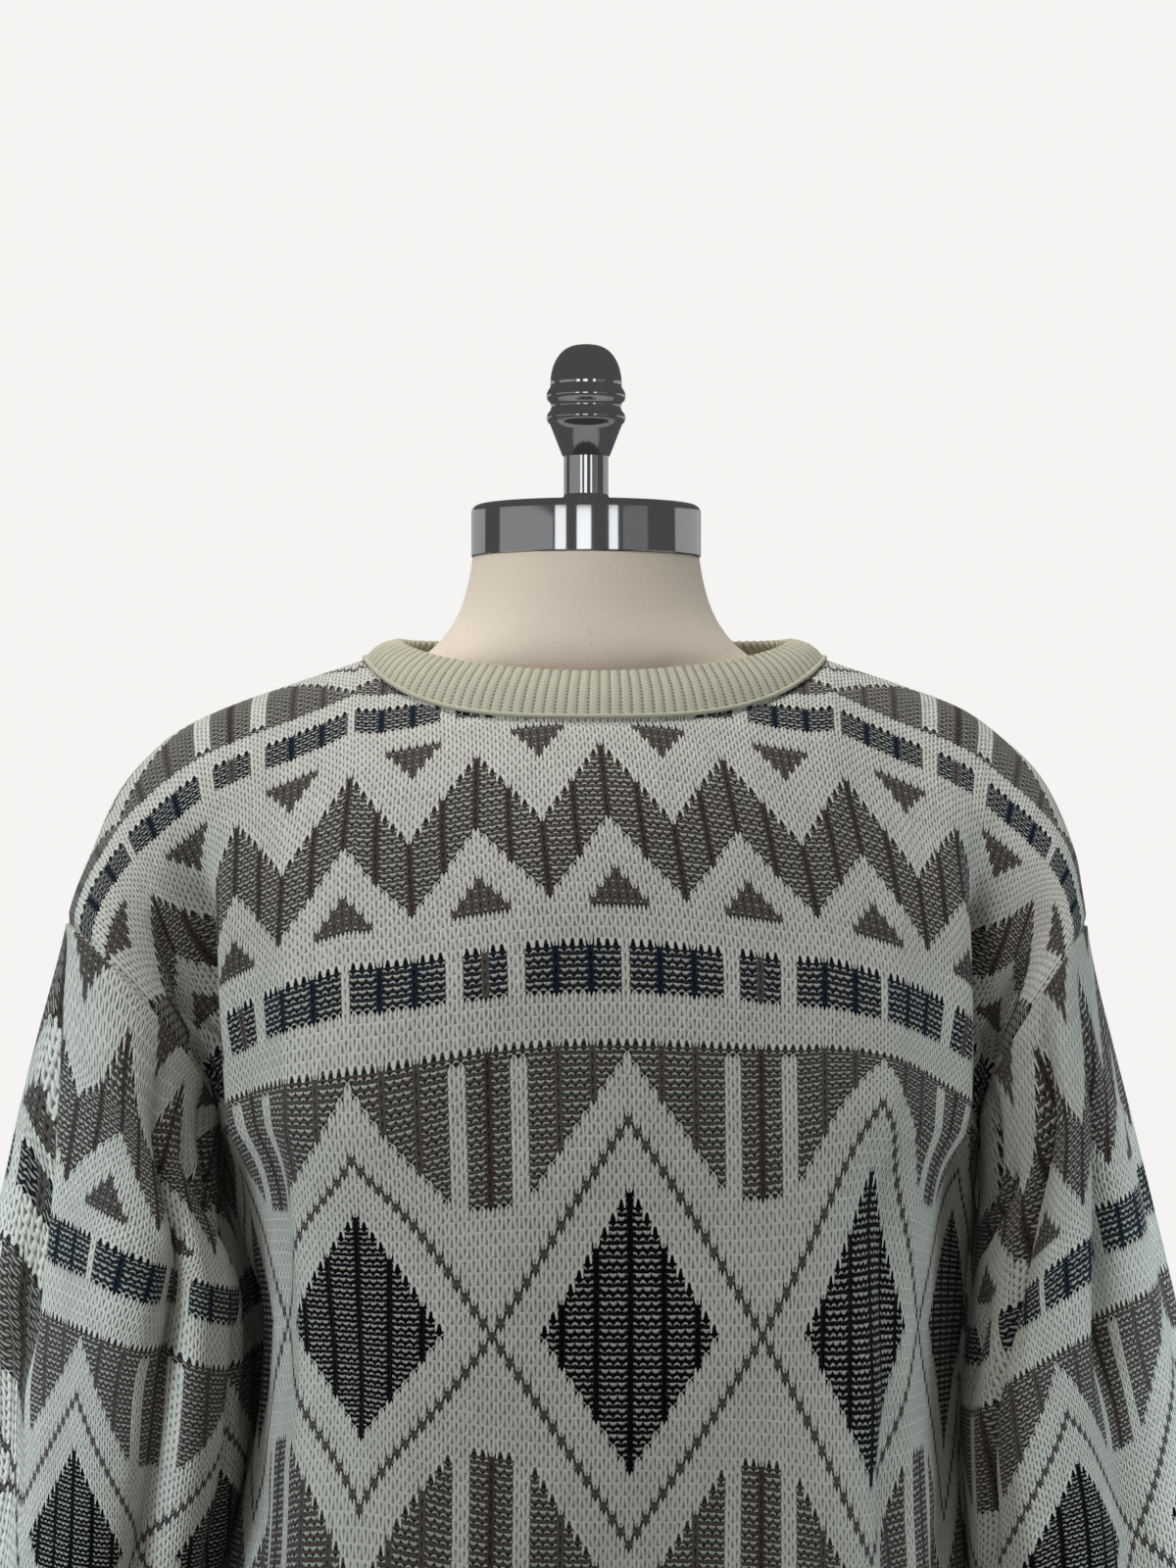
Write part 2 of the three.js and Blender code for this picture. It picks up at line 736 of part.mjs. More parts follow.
function roundedDisc(radius, height, edge, segments) {
  const profile = [[0, 0], [radius, 0]];
  const arcSteps = 4;
  for (let i = 0; i <= arcSteps; i += 1) {
    const angle = (i / arcSteps) * Math.PI / 2;
    profile.push([radius - edge + edge * Math.cos(angle), height - edge + edge * Math.sin(angle)]);
  }
  profile.push([0, height]);
  return lathe(profile, segments);
}

function finialStem() {
  const top = finial.stemHeight;
  return lathe([[0, 0], [11.7, 0], [11.2, 2.2], [10.2, 4], [10.2, top], [0, top]], 28);
}

// An acorn knob: a cup, two beads with a groove between them, and a long dome.
function finialKnob() {
  const cup = [[0, 0], [10.9, 0], [12.1, 3], [13.9, 7.6], [15.4, 11.4], [16.5, 14.4]];
  const beads = [[17.8, 16], [18.1, 17.6], [17.6, 19.2], [16.1, 21], [15.9, 22.4], [16.6, 24.4],
    [18, 26], [18.2, 27.4], [17.8, 29.2], [16.9, 31.2]];
  const dome = [];
  const domeSteps = 7;
  for (let i = 0; i < domeSteps; i += 1) {
    const angle = (i / domeSteps) * Math.PI / 2;
    const height = mix(finial.domeFoot, finial.knobHeight, Math.sin(angle));
    dome.push([finial.domeRadius * Math.cos(angle) ** 0.72, height]);
  }
  return lathe([...cup, ...beads, ...dome, [0, finial.knobHeight]], 28);
}

// ---------------------------------------------------------------- the model

const finishes = {
  knit: { color: colours.knit, roughness: 0.95, metalness: 0 },
  rib: { color: colours.rib, roughness: 0.95, metalness: 0 },
  linen: { color: colours.linen, roughness: 0.9, metalness: 0 },
  chrome: { color: colours.chrome, roughness: 0.12, metalness: 1 },
};

const group = new THREE.Group();

function add(name, geometry, finish, height = 0) {
  const mesh = new THREE.Mesh(geometry, new THREE.MeshStandardMaterial(finishes[finish]));
  mesh.name = name;
  mesh.position.z = height;
  group.add(mesh);
}

add('front', panel(-1), 'knit');
add('back', panel(1), 'knit');
add('sleeve_right', sleeve(-1), 'knit');
add('sleeve_left', sleeve(1), 'knit');
add('neckband', neckband(), 'rib');
add('hem_front', hem(-1), 'rib');
add('hem_back', hem(1), 'rib');
add('cuff_right', cuff(-1), 'rib');
add('cuff_left', cuff(1), 'rib');

const collarFoot = stand.formBottom - stand.joinGap - stand.collarHeight;
const poleFoot = stand.baseHeight + stand.joinGap;
const poleHeight = collarFoot - stand.joinGap - poleFoot;
const capFoot = stand.formTop + stand.joinGap;
const stemFoot = capFoot + neckCap.height + stand.joinGap;
const knobFoot = stemFoot + finial.stemHeight + stand.joinGap;

add('form_torso', formTorso(), 'linen');
add('neck_cap', roundedDisc(neckCap.radius, neckCap.height, neckCap.edge, 48), 'chrome', capFoot);
add('finial_stem', finialStem(), 'chrome', stemFoot);
add('finial_knob', finialKnob(), 'chrome', knobFoot);
add('pole_collar', roundedDisc(stand.collarRadius, stand.collarHeight, stand.collarEdge, 36),
  'chrome', collarFoot);
add('stand_pole', roundedDisc(stand.poleRadius, poleHeight, stand.poleEdge, 28), 'chrome', poleFoot);
add('stand_base', roundedDisc(stand.baseRadius, stand.baseHeight, stand.baseEdge, 64), 'chrome');

export default group;
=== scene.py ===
"""Jacquard pullover worn by a limbless dress form on a counter stand.

The cloth is knitted up stitch by stitch: each panel is a sheet with one face for each stitch,
whose yarn comes from a written chart, and which hangs in the folds listed in the tables below.
Millimetres are used in the tables and metres in the scene. The chest faces -Y.
"""

import math

import bmesh
import bpy
import numpy as np
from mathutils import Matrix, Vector


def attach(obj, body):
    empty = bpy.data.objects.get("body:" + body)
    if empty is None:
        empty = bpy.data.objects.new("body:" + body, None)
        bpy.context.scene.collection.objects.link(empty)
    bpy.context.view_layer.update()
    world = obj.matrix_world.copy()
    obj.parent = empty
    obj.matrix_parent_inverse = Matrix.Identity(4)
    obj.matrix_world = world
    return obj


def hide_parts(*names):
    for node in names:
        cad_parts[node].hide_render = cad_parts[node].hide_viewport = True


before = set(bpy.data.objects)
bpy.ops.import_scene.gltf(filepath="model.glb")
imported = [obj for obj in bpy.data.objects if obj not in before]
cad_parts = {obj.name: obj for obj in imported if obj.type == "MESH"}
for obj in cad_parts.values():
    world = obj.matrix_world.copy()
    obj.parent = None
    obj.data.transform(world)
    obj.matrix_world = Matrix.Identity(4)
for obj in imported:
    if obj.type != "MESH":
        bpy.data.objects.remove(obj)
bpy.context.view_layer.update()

bl_info = {
    "name": "Jacquard pullover on a dress form",
    "version": (1, 0, 0),
    "blender": (4, 5, 0),
    "location": "View3D > Sidebar > Pullover",
    "description": "Knits a drop-shoulder pullover from a chart and dresses a limbless form with it",
    "category": "Object",
}

MM = 0.001

# --- settings


def yarn_colour(name, description, default):
    """A setting for the colour of a yarn."""
    return bpy.props.FloatVectorProperty(
        name=name, description=description, default=default,
        subtype="COLOR", size=3, min=0.0, max=1.0)


class PulloverYarns(bpy.types.PropertyGroup):
    """The yarns that the pullover is knitted from."""

    cream: yarn_colour("Cream", "Ground yarn of the body and sleeves", (0.68, 0.665, 0.60))
    taupe: yarn_colour("Taupe", "Zigzags, combs and lozenge outlines", (0.098, 0.084, 0.075))
    taupe_ground: yarn_colour("Taupe ground", "Ground of the zigzags and combs", (0.080, 0.068, 0.059))
    brown: yarn_colour("Brown", "Upright lines in the taupe areas", (0.062, 0.048, 0.042))
    navy: yarn_colour("Navy", "Upright lines in the dashed bands", (0.010, 0.017, 0.028))
    ink: yarn_colour("Ink", "Ground of the dashed bands", (0.018, 0.021, 0.027))
    black: yarn_colour("Black", "Filled lozenges", (0.003, 0.003, 0.004))
    fleck: yarn_colour("Fleck", "Cream flecks in the dark areas", (0.54, 0.535, 0.49))
    rib: yarn_colour("Rib", "Ribbing of the neckband", (0.53, 0.51, 0.40))


class PulloverGauge(bpy.types.PropertyGroup):
    """Width of the ribs, and how thick the cloth is."""

    rib_wale: bpy.props.FloatProperty(
        name="Rib pair", description="Width of one knit and one purl wale of the ribbing",
        default=0.0056, unit="LENGTH")
    thickness: bpy.props.FloatProperty(
        name="Thickness", description="Thickness of the knitted cloth",
        default=0.0018, unit="LENGTH")
    rib_thickness: bpy.props.FloatProperty(
        name="Rib thickness", description="Thickness of the ribbed hems and cuffs",
        default=0.0026, unit="LENGTH")


class PulloverStudio(bpy.types.PropertyGroup):
    """Camera and light."""

    distance: bpy.props.FloatProperty(
        name="Camera distance", description="From the lens to the form's axis",
        default=1.65, unit="LENGTH")
    height: bpy.props.FloatProperty(
        name="Camera height", description="Height of the lens above the counter",
        default=0.70, unit="LENGTH")
    aside: bpy.props.FloatProperty(
        name="Camera offset", description="How far the lens stands to the wearer's left",
        default=0.0009, unit="LENGTH")
    lens: bpy.props.FloatProperty(
        name="Lens", description="Focal length of the camera",
        default=82.8, unit="CAMERA")
    brightness: bpy.props.FloatProperty(
        name="Brightness", description="Strength of all the lights together", default=1.0, min=0.0)


# --- tables of the garment, in millimetres


def table(heading, *rows):
    """Columns of numbers by name, one entry for each section."""
    return {name: np.array([row[i] for row in rows], float)
            for i, name in enumerate(heading.split())}


# The flat panel: half widths, and distances down from the shoulder.
HALF_CHEST = 300.0
NECK_HALF = 102.0
UNDERARM = 265.0
RIB_TOP = 615.0
HEM = 680.0
SHOULDER_SLOPE = 35.0

# The seams sink into the cloth, which waves a little everywhere else.
SEAM_SINK, HEM_SINK, SEAM_WIDTH = 1.6, 1.2, 5.0
WAVE_DEPTH, WAVE_LENGTH, WAVE_START = 1.3, 52.0, 60.0

SMOOTH_CHEST = 140.0    # half of the stretch over the chest that keeps its width
SEAM_LIFT = 12.0        # how far the armhole seam bows up between its ends
SEAM_LIFT_FROM = 210.0  # how far out from the middle that begins
ARMHOLE_BLEND = 45.0    # how far down a sleeve the armhole's shape is felt
CREASE_FADE = 0.28      # the share of a crease that fades out at each end
WAVES = 6               # how many waves are laid over one another in the uneven cloth
GAP = 0.18              # what each piece keeps to the seam line

# The shoulder seam of each side, by the distance from the middle of the flat panel.
SHOULDER_SEAM = table(
    "across right_x right_z left_x left_z",
    (102, -102, 757, 110, 757),
    (140, -137, 745, 145, 745),
    (170, -165, 735, 173, 734),
    (195, -187, 724, 193, 719),
    (215, -202, 711, 206, 706),
    (235, -214, 695, 215, 690),
    (260, -224, 671, 222, 668),
    (280, -231, 652, 225, 650),
    (300, -236, 634, 227, 633),
)

# The body tube below the underarm: half widths, depths and heights of each ring.
BODY_RINGS = table(
    "down right left front back front_z back_z side_z",
    (265, 166, 178, 115, 104, 553, 536, 540),
    (283, 157, 168, 116, 105, 535, 518, 523),
    (310, 151, 163, 116, 106, 508, 491, 497),
    (360, 147, 160, 118, 109, 458, 442, 447),
    (440, 152, 162, 121, 112, 378, 363, 369),
    (540, 167, 171, 124, 118, 278, 266, 271),
    (615, 174, 176, 125, 120, 203, 193, 197),
    (680, 162, 165, 117, 112, 138, 129, 133),
)
RING_ROUNDNESS = 2.35

# How finely curves are followed before stitches are laid out on them.
RING_STEPS = 61
WALE_STEPS = 57
ARMHOLE_STEPS = 201
NECK_STEPS = 1441
SLEEVE_STEPS = 2000

# Sleeve rings: the outer line and the underarm line, the reach to the front and back, and how
# far the ring wraps in round the body.
SLEEVE_RINGS = {
    -1: table(
        "along out_x out_z in_x in_z reach wrap",
        (0, -236, 634, -166, 540, 76, 0),
        (22, -242, 613, -171, 525, 76, 4),
        (50, -249, 586, -169, 508, 75, 12),
        (110, -264, 526, -161, 462, 72, 25),
        (180, -281, 458, -163, 408, 68, 24),
        (260, -299, 380, -174, 345, 62, 18),
        (340, -312, 301, -194, 276, 56, 12),
        (400, -317, 241, -210, 226, 51, 6),
        (440, -313, 201, -222, 192, 42, 0),
        (455, -301, 186, -231, 179, 30, 0),
        (522, -297, 119, -233, 112, 27, 0),
    ),
    1: table(
        "along out_x out_z in_x in_z reach wrap",
        (0, 227, 633, 178, 540, 76, 0),
        (22, 232, 612, 183, 525, 76, 0),
        (50, 240, 583, 184, 507, 75, 3),
        (110, 255, 524, 180, 462, 72, 12),
        (180, 272, 449, 174, 405, 68, 20),
        (260, 288, 371, 179, 342, 62, 16),
        (340, 300, 292, 193, 272, 56, 12),
        (400, 304, 232, 203, 222, 51, 6),
        (440, 300, 192, 213, 186, 42, 0),
        (455, 289, 178, 221, 172, 30, 0),
        (522, 285, 111, 223, 105, 27, 0),
    ),
}
CUFF_TOP = 455.0
CUFF_END = 522.0
SLEEVE_HALF = table(
    "along half", (0, 230), (60, 214), (180, 190), (300, 165), (400, 145), (455, 132))

NECK = dict(centre_x=4.0, half=106.0, seam_y=6.0, side_z=757.0, middle_z=759.0,
            cut_front=86.0, cut_back=70.0)
BAND_INNER = dict(half=89.0, front=63.0, back=56.0, side_z=767.0, front_z=748.0, back_z=768.0)

# How strongly wales are drawn out of the shoulder seam and into the line of the underarm, in
# front (-1) and behind (1); drop is the depth of the neck cut.
WALES = {
    -1: dict(middle_pull=370.0, shoulder_pull=180.0, lift=0.0, drop=74.0),
    1: dict(middle_pull=300.0, shoulder_pull=165.0, lift=120.0, drop=18.0),
}
# The same for the outermost wales, and how the cloth closes in under the arm.
PULL = dict(lobe=305.0, lobe_from=190.0, middle_to=150.0, hang=180.0, close_from=200.0,
            close=260.0, close_hang=120.0)

# Creases of the panels, each from one point to another of the flat panel: across and down from
# the shoulder, bow to the side, half width, and depth (troughs negative, ridges positive).
PANEL_CREASES = {
    -1: table(
        "a0 d0 a1 d1 bow width depth",
        (-190, 85, -238, 285, -7, 15, -15),
        (-196, 110, -240, 275, -7, 6, -8),
        (-168, 110, -208, 300, -6, 15, 5),
        (180, 90, 252, 290, 8, 15, -14),
        (190, 115, 254, 280, 8, 6, -9),
        (160, 110, 226, 300, 8, 16, 5),
        (-244, 128, -276, 206, 5, 7, -6),
        (-262, 178, -232, 250, -4, 6, -7),
        (-292, 196, -248, 262, 0, 7, -6),
        (262, 150, 282, 232, -4, 8, -6),
        (246, 205, 292, 236, 3, 6, -7),
        (252, 232, 288, 262, 0, 6, -6),
        (134, 245, 156, 470, 5, 17, -7),
        (156, 380, 166, 600, -4, 20, -8),
        (-120, 330, -108, 520, 4, 22, -4),
        (20, 380, 4, 640, 6, 30, -4),
        (-214, 400, -206, 650, 0, 22, -9),
        (232, 420, 224, 650, 0, 22, -8),
        (-160, 250, -172, 420, 3, 16, -4),
    ),
    1: table(
        "a0 d0 a1 d1 bow width depth",
        (-190, 85, -236, 285, -7, 15, -14),
        (190, 85, 238, 285, 7, 15, -15),
        (-252, 150, -282, 235, 4, 8, -6),
        (246, 165, 286, 240, -5, 7, -6),
        (-48, 260, -60, 640, 5, 24, -10),
        (66, 290, 78, 620, -5, 28, -11),
        (-165, 270, -150, 640, 0, 26, -11),
        (178, 260, 170, 630, 0, 25, -10),
        (8, 60, -20, 240, 6, 30, -4),
    ),
}

# How far the side seams stand out from the form's waist towards the sleeves.
SIDE_SWELL = {
    -1: table("down depth", (262, 0), (283, 7), (318, 6), (354, -3), (386, -2), (420, 4),
              (455, 8.5), (500, 9), (560, 7), (640, 0)),
    1: table("down depth", (262, 0), (283, 11), (335, 13), (378, 10), (420, 9.5), (472, 9.5),
             (560, 7), (640, 0)),
}

# Creases of the sleeves: distances are round from the top fold, front negative, and down from
# the armhole.
SLEEVE_CREASES = {
    -1: table(
        "a0 d0 a1 d1 bow width depth",
        (-37, 6, -50, 230, 2, 6, -14),
        (-50, 190, -58, 360, 0, 8, -7),
        (-22, 20, -36, 300, 0, 13, 4),
        (-146, 12, -108, 190, 6, 7, -13),
        (-108, 90, -112, 330, 0, 8, -14),
        (-84, 60, -84, 320, 0, 14, 4),
        (-178, 8, -206, 66, 3, 6, -6),
        (-156, 26, -192, 96, 2, 6, -7),
        (-170, 84, -150, 300, 3, 9, -7),
        (-196, 40, -178, 200, 0, 10, -5),
        (-70, 300, -58, 450, 0, 12, -7),
        (-140, 290, -118, 450, 2, 11, -7),
        (70, 30, 74, 330, 4, 12, -10),
        (130, 60, 118, 420, -4, 16, -11),
        (24, 120, 20, 420, 0, 14, -6),
    ),
    1: table(
        "a0 d0 a1 d1 bow width depth",
        (-75, 8, -64, 215, 3, 5, -15),
        (-65, 180, -62, 350, 0, 8, -7),
        (-50, 30, -44, 320, 0, 13, 4),
        (-110, 6, -140, 120, -9, 6, -9),
        (-134, 60, -140, 290, 0, 6, -10),
        (-116, 110, -106, 320, 0, 13, 4),
        (-176, 8, -200, 58, 3, 6, -7),
        (-158, 34, -196, 78, 2, 6, -7),
        (-168, 96, -176, 170, 0, 7, -6),
        (-24, 40, -18, 260, 2, 10, -5),
        (-60, 300, -52, 450, 0, 12, -7),
        (-128, 280, -110, 450, 2, 11, -8),
        (84, 40, 78, 330, -4, 12, -10),
        (136, 80, 122, 420, 4, 16, -11),
        (34, 150, 28, 430, 0, 15, -6),
    ),
}

# How far the underside of each sleeve swells towards the body.
SLEEVE_SWELL = {
    -1: table("along depth", (0, 0), (30, 3), (75, 6), (145, 9), (190, 10), (262, 8.5), (330, 6),
              (420, 0)),
    1: table("along depth", (0, 0), (30, 3), (60, 5), (110, 5), (165, 3.5), (215, 2.5), (262, 4.5),
             (330, 5), (420, 0)),
}

# The knitting. Wales are counted from the middle of a panel and courses down from the chart's
# first zigzag peak; these say where each course and wale lies on the flat panel.
CHART_EDGE = 75.5
CHART_TOP, CHART_FOOT = -44, 108
COURSE_LINES = table(
    "course down",
    (-44, -74), (-13, 38.5), (-10, 48.5), (-6, 63), (-3, 74.5), (0, 87), (8, 124), (13, 147),
    (17, 164.5), (20, 180.5), (24, 203), (28, 224.5), (40, 288.5), (50.5, 350.5), (61, 408.5),
    (73, 474), (77, 495), (81, 517), (84, 532), (108, 642),
)
WALE_LINES = table(
    "course centre spread",
    (-44, 0, 3.10), (-8, 0, 3.15), (0, 3, 3.22), (8, 7, 3.45), (17, 13, 3.62), (22, 16, 3.66),
    (50, 19, 3.62), (108, 15, 3.62),
)

# Sleeve courses are counted from the armhole, and wales from the top fold.
SLEEVE_COURSES = table(
    "course along",
    (0, 0), (3, 17), (11, 51), (20, 98), (25, 121), (31, 155), (37, 184), (43, 210), (53.5, 255),
    (76, 362), (80, 383), (84, 404), (96, 466),
)

# Distance round each sleeve from its top fold to every eighth wale of its front, by course.
# Wales lie closer where the cloth is gathered into a fold.
WALE_STEP = 8
SLEEVE_WALES = {
    -1: table(
        "course 0 8 16 24 32 40 48 56 64 72",
        (0, -16, 10, 38, 80, 120, 145, 168, 192, 218, 244),
        (11, -10, 11, 33, 66, 97, 120, 138, 164, 194, 222),
        (18.5, -8, 12, 32, 58, 79, 106, 124, 152, 183, 210),
        (25, -6, 15, 37, 56, 72, 98, 113, 137, 174, 206),
        (35, -6, 16, 40, 58, 72, 88, 105, 132, 158, 190),
        (53, 2, 28, 54, 68, 80, 95, 111, 131, 153, 180),
        (76, 0, 27, 54, 74, 88, 104, 124, 148, 172, 197),
        (96, 0, 28, 56, 84, 112, 140, 168, 196, 224, 252),
    ),
    1: table(
        "course 0 8 16 24 32 40 48 56 64 72",
        (0, 26, 52, 76, 102, 130, 160, 188, 214, 240, 266),
        (11, 34, 58, 72, 91, 122, 149, 178, 203, 226, 250),
        (18.5, 38, 61, 71, 85, 117, 141, 172, 198, 221, 245),
        (25, 36, 58, 66, 76, 110, 134, 162, 190, 214, 240),
        (35, 28, 52, 62, 72, 88, 114, 145, 171, 196, 221),
        (53, 18, 42, 60, 70, 82, 108, 141, 164, 188, 211),
        (76, 8, 34, 58, 76, 94, 118, 146, 173, 200, 227),
        (96, 0, 28, 56, 84, 112, 140, 168, 196, 224, 252),
    ),
}
SLEEVE_BACK_WALE = 3.4
SLEEVE_EDGE = 72.5
SLEEVE_FOOT = 96

# Rows of the ribbed ends, closer together round the lower edge.
HEM_ROWS = [RIB_TOP + GAP, 620, 626, 633, 640, 647, 654, 661, 668, 673, 676, 677.5, 678.6,
            679.4, 679.8, HEM]
CUFF_ROWS = [CUFF_TOP + GAP, 460, 466, 472, 479, 486, 493, 500, 507, 513, 517, 519, 520.4,
             521.3, 521.8, CUFF_END]
CUFF_RIBS = 46
RIB_COURSE = 1.7
RIB_RELIEF = 0.9
RIB_STEPS = 8           # columns of faces to each rib

BAND = dict(ribs=114, thick=4.2, dome=2.6, relief=0.6, fold=0.9, course=1.62, rise=2.8)
CORD = dict(radius=1.15, out=0.7, up=0.9)

# How the stitches leave the lines above; distances across are in wales. Courses droop towards
# the sides, down to the chest lozenges. The lozenge on the wearer's left is stretched and the one
# on the right pressed together. Courses below the neck lie higher in the middle, and wales beside
# the armholes lie further out.
DROOP = dict(depth=19.0, across=48.0, power=2.2, fades=(24, 50))
STRETCH = dict(course=50.0, across=32, width=13.0, fades=(12, 26))
RAISED = dict(depth=5.5, width=20.0, fades=(-9, -4))
SHIFTED = dict(depth=6.0, across=49, width=9.0, comes=(10, 17), fades=(28, 40))

# --- curves and surfaces


def ease(low, high, value):
    """From 0 at low to 1 at high, with a soft start and end."""
    t = np.clip((value - low) / (high - low), 0.0, 1.0)
    return t * t * (3 - 2 * t)


def mix(a, b, t):
    """From a to b by the share t."""
    return a + (b - a) * t


def hermite(a, b, slope_a, slope_b, t):
    """A cubic from a to b that leaves and arrives with the given slopes."""
    tt, ttt = t * t, t * t * t
    return (a * (2 * ttt - 3 * tt + 1) + slope_a * (ttt - 2 * tt + t)
            + b * (3 * tt - 2 * ttt) + slope_b * (ttt - tt))


def at(rows, key, values):
    """A smooth cubic through a table's rows, held at its ends."""
    x = rows[key]
    v = np.clip(np.asarray(values, float), x[0], x[-1])
    i = np.clip(np.searchsorted(x, v) - 1, 0, len(x) - 2)
    span = x[i + 1] - x[i]
    t = (v - x[i]) / span
    found = {}
    for name, f in rows.items():
        slope = np.empty_like(f)
        slope[1:-1] = (f[2:] - f[:-2]) / (x[2:] - x[:-2])
        slope[0] = (f[1] - f[0]) / (x[1] - x[0])
        slope[-1] = (f[-1] - f[-2]) / (x[-1] - x[-2])
        found[name] = hermite(f[i], f[i + 1], slope[i] * span, slope[i + 1] * span, t)
    return found


def unit(vectors):
    """The same directions with a length of 1."""
    return vectors / np.maximum(1e-9, np.linalg.norm(vectors, axis=-1, keepdims=True))


def chain_lengths(chains):
    """Running length of many chains at once: steps by chains by three."""
    steps = np.linalg.norm(np.diff(chains, axis=0), axis=2)
    return np.concatenate([np.zeros((1, chains.shape[1])), np.cumsum(steps, axis=0)])


def along_chains(chains, lengths, distances):
    """One point of each chain, at its own distance along it."""
    d = np.clip(distances, 0.0, lengths[-1])
    i = np.clip((lengths < d).sum(axis=0), 1, len(lengths) - 1)
    n = np.arange(chains.shape[1])
    before, after = lengths[i - 1, n], lengths[i, n]
    t = ((d - before) / np.maximum(1e-9, after - before))[:, None]
    return mix(chains[i - 1, n], chains[i, n], t)


def lower_points(face, across, down):
    """Points of the body below the underarm."""
    ring = at(BODY_RINGS, "down", down)
    side = np.where(across < 0, -1.0, 1.0)
    half = np.where(across < 0, ring["right"], ring["left"])
    depth = ring["front"] if face < 0 else ring["back"]
    angle = np.linspace(0, math.pi / 2, RING_STEPS)[:, None]
    quarter = np.stack([
        side * half * np.sin(angle) ** (2 / RING_ROUNDNESS),
        face * depth * np.cos(angle) ** (2 / RING_ROUNDNESS),
        np.zeros((RING_STEPS, len(across)))], axis=2)
    lengths = chain_lengths(quarter)
    u = np.abs(across)
    beyond = np.maximum(0, u - SMOOTH_CHEST) / (HALF_CHEST - SMOOTH_CHEST)
    points = along_chains(
        quarter, lengths, mix(np.minimum(u, SMOOTH_CHEST), lengths[-1], beyond))
    middle = ring["front_z"] if face < 0 else ring["back_z"]
    points[:, 2] = mix(middle, ring["side_z"], (u / HALF_CHEST) ** 2)
    return points


def seam_points(side, u):
    """Where wales start: on the shoulder seam, or on its line across the neck."""
    share = np.minimum(1.0, u / NECK_HALF)
    seam = at(SHOULDER_SEAM, "across", u)
    over_neck = u < NECK_HALF
    x = np.where(side < 0, seam["right_x"], seam["left_x"])
    z = np.where(side < 0, seam["right_z"], seam["left_z"])
    x = np.where(over_neck, NECK["centre_x"] + side * NECK["half"] * share, x)
    z = np.where(over_neck, mix(NECK["middle_z"], NECK["side_z"], share ** 2), z)
    y = NECK["seam_y"] * (1 - ease(NECK_HALF, HALF_CHEST, u))
    return np.stack([x, y, z], axis=1)


def neck_cut(face, u):
    """How much of each wale is cut away at the neck."""
    middle = NECK["cut_front"] if face < 0 else NECK["cut_back"]
    return middle * np.sqrt(np.maximum(0.0, 1 - (u / NECK_HALF) ** 2))


def top_of_panel(face, u):
    """The knit's distance down from the shoulder at the panel's top edge."""
    u = np.abs(u)
    slope = SHOULDER_SLOPE * (u - NECK_HALF) / (HALF_CHEST - NECK_HALF)
    neck = WALES[face]["drop"] * np.sqrt(np.maximum(0.0, 1 - (u / NECK_HALF) ** 2))
    return np.where(u >= NECK_HALF, slope, neck)


def upper_points(face, across, down):
    """Points of a panel above the underarm, on the wale that each lies on."""
    side = np.where(across < 0, -1.0, 1.0)
    u = np.abs(across)
    pulls = WALES[face]
    lobe = ease(PULL["lobe_from"], HALF_CHEST, u)
    over = ease(0, PULL["middle_to"], u)
    leaving = mix(mix(pulls["middle_pull"], pulls["shoulder_pull"], over), PULL["lobe"], lobe)
    none = np.zeros_like(u)
    start = seam_points(side, u)
    start_pull = np.stack([none, face * leaving, pulls["lift"] * (1 - over)], axis=1)
    closing = np.clip((u - PULL["close_from"]) / (HALF_CHEST - PULL["close_from"]), 0, 1) ** 3
    end = lower_points(face, across, np.full_like(u, UNDERARM))
    hang = mix(PULL["hang"], PULL["close_hang"], closing)
    end_pull = np.stack([none, -face * PULL["close"] * closing, -hang], axis=1)
    t = np.linspace(0, 1, WALE_STEPS)[:, None, None]
    chains = hermite(start, end, start_pull, end_pull, t)
    lengths = chain_lengths(chains)
    top = top_of_panel(face, u)
    share = np.clip((down - top) / (UNDERARM - top), 0, 1)
    points = along_chains(chains, lengths, mix(neck_cut(face, u), lengths[-1], share))
    points[:, 2] += SEAM_LIFT * ease(SEAM_LIFT_FROM, HALF_CHEST, u) * np.sin(math.pi * share)
    return points


def panel_points(face, across, down):
    """Points of a panel's smooth surface, in any arrangement of places on the flat panel."""
    shape = np.broadcast(across, down).shape
    a = np.broadcast_to(across, shape).ravel().astype(float)
    d = np.broadcast_to(down, shape).ravel().astype(float)
    points = lower_points(face, a, d)
    upper = d <= UNDERARM
    points[upper] = upper_points(face, a[upper], d[upper])
    return points.reshape(shape + (3,))


def armhole_chain(face, side):
    """The armhole edge of a panel from the shoulder down, as even shares of its length."""
    shares = np.linspace(0, 1, ARMHOLE_STEPS)
    top = float(top_of_panel(face, HALF_CHEST))
    across = np.full(ARMHOLE_STEPS, side * HALF_CHEST)
    return upper_points(face, across, mix(top, UNDERARM, shares))


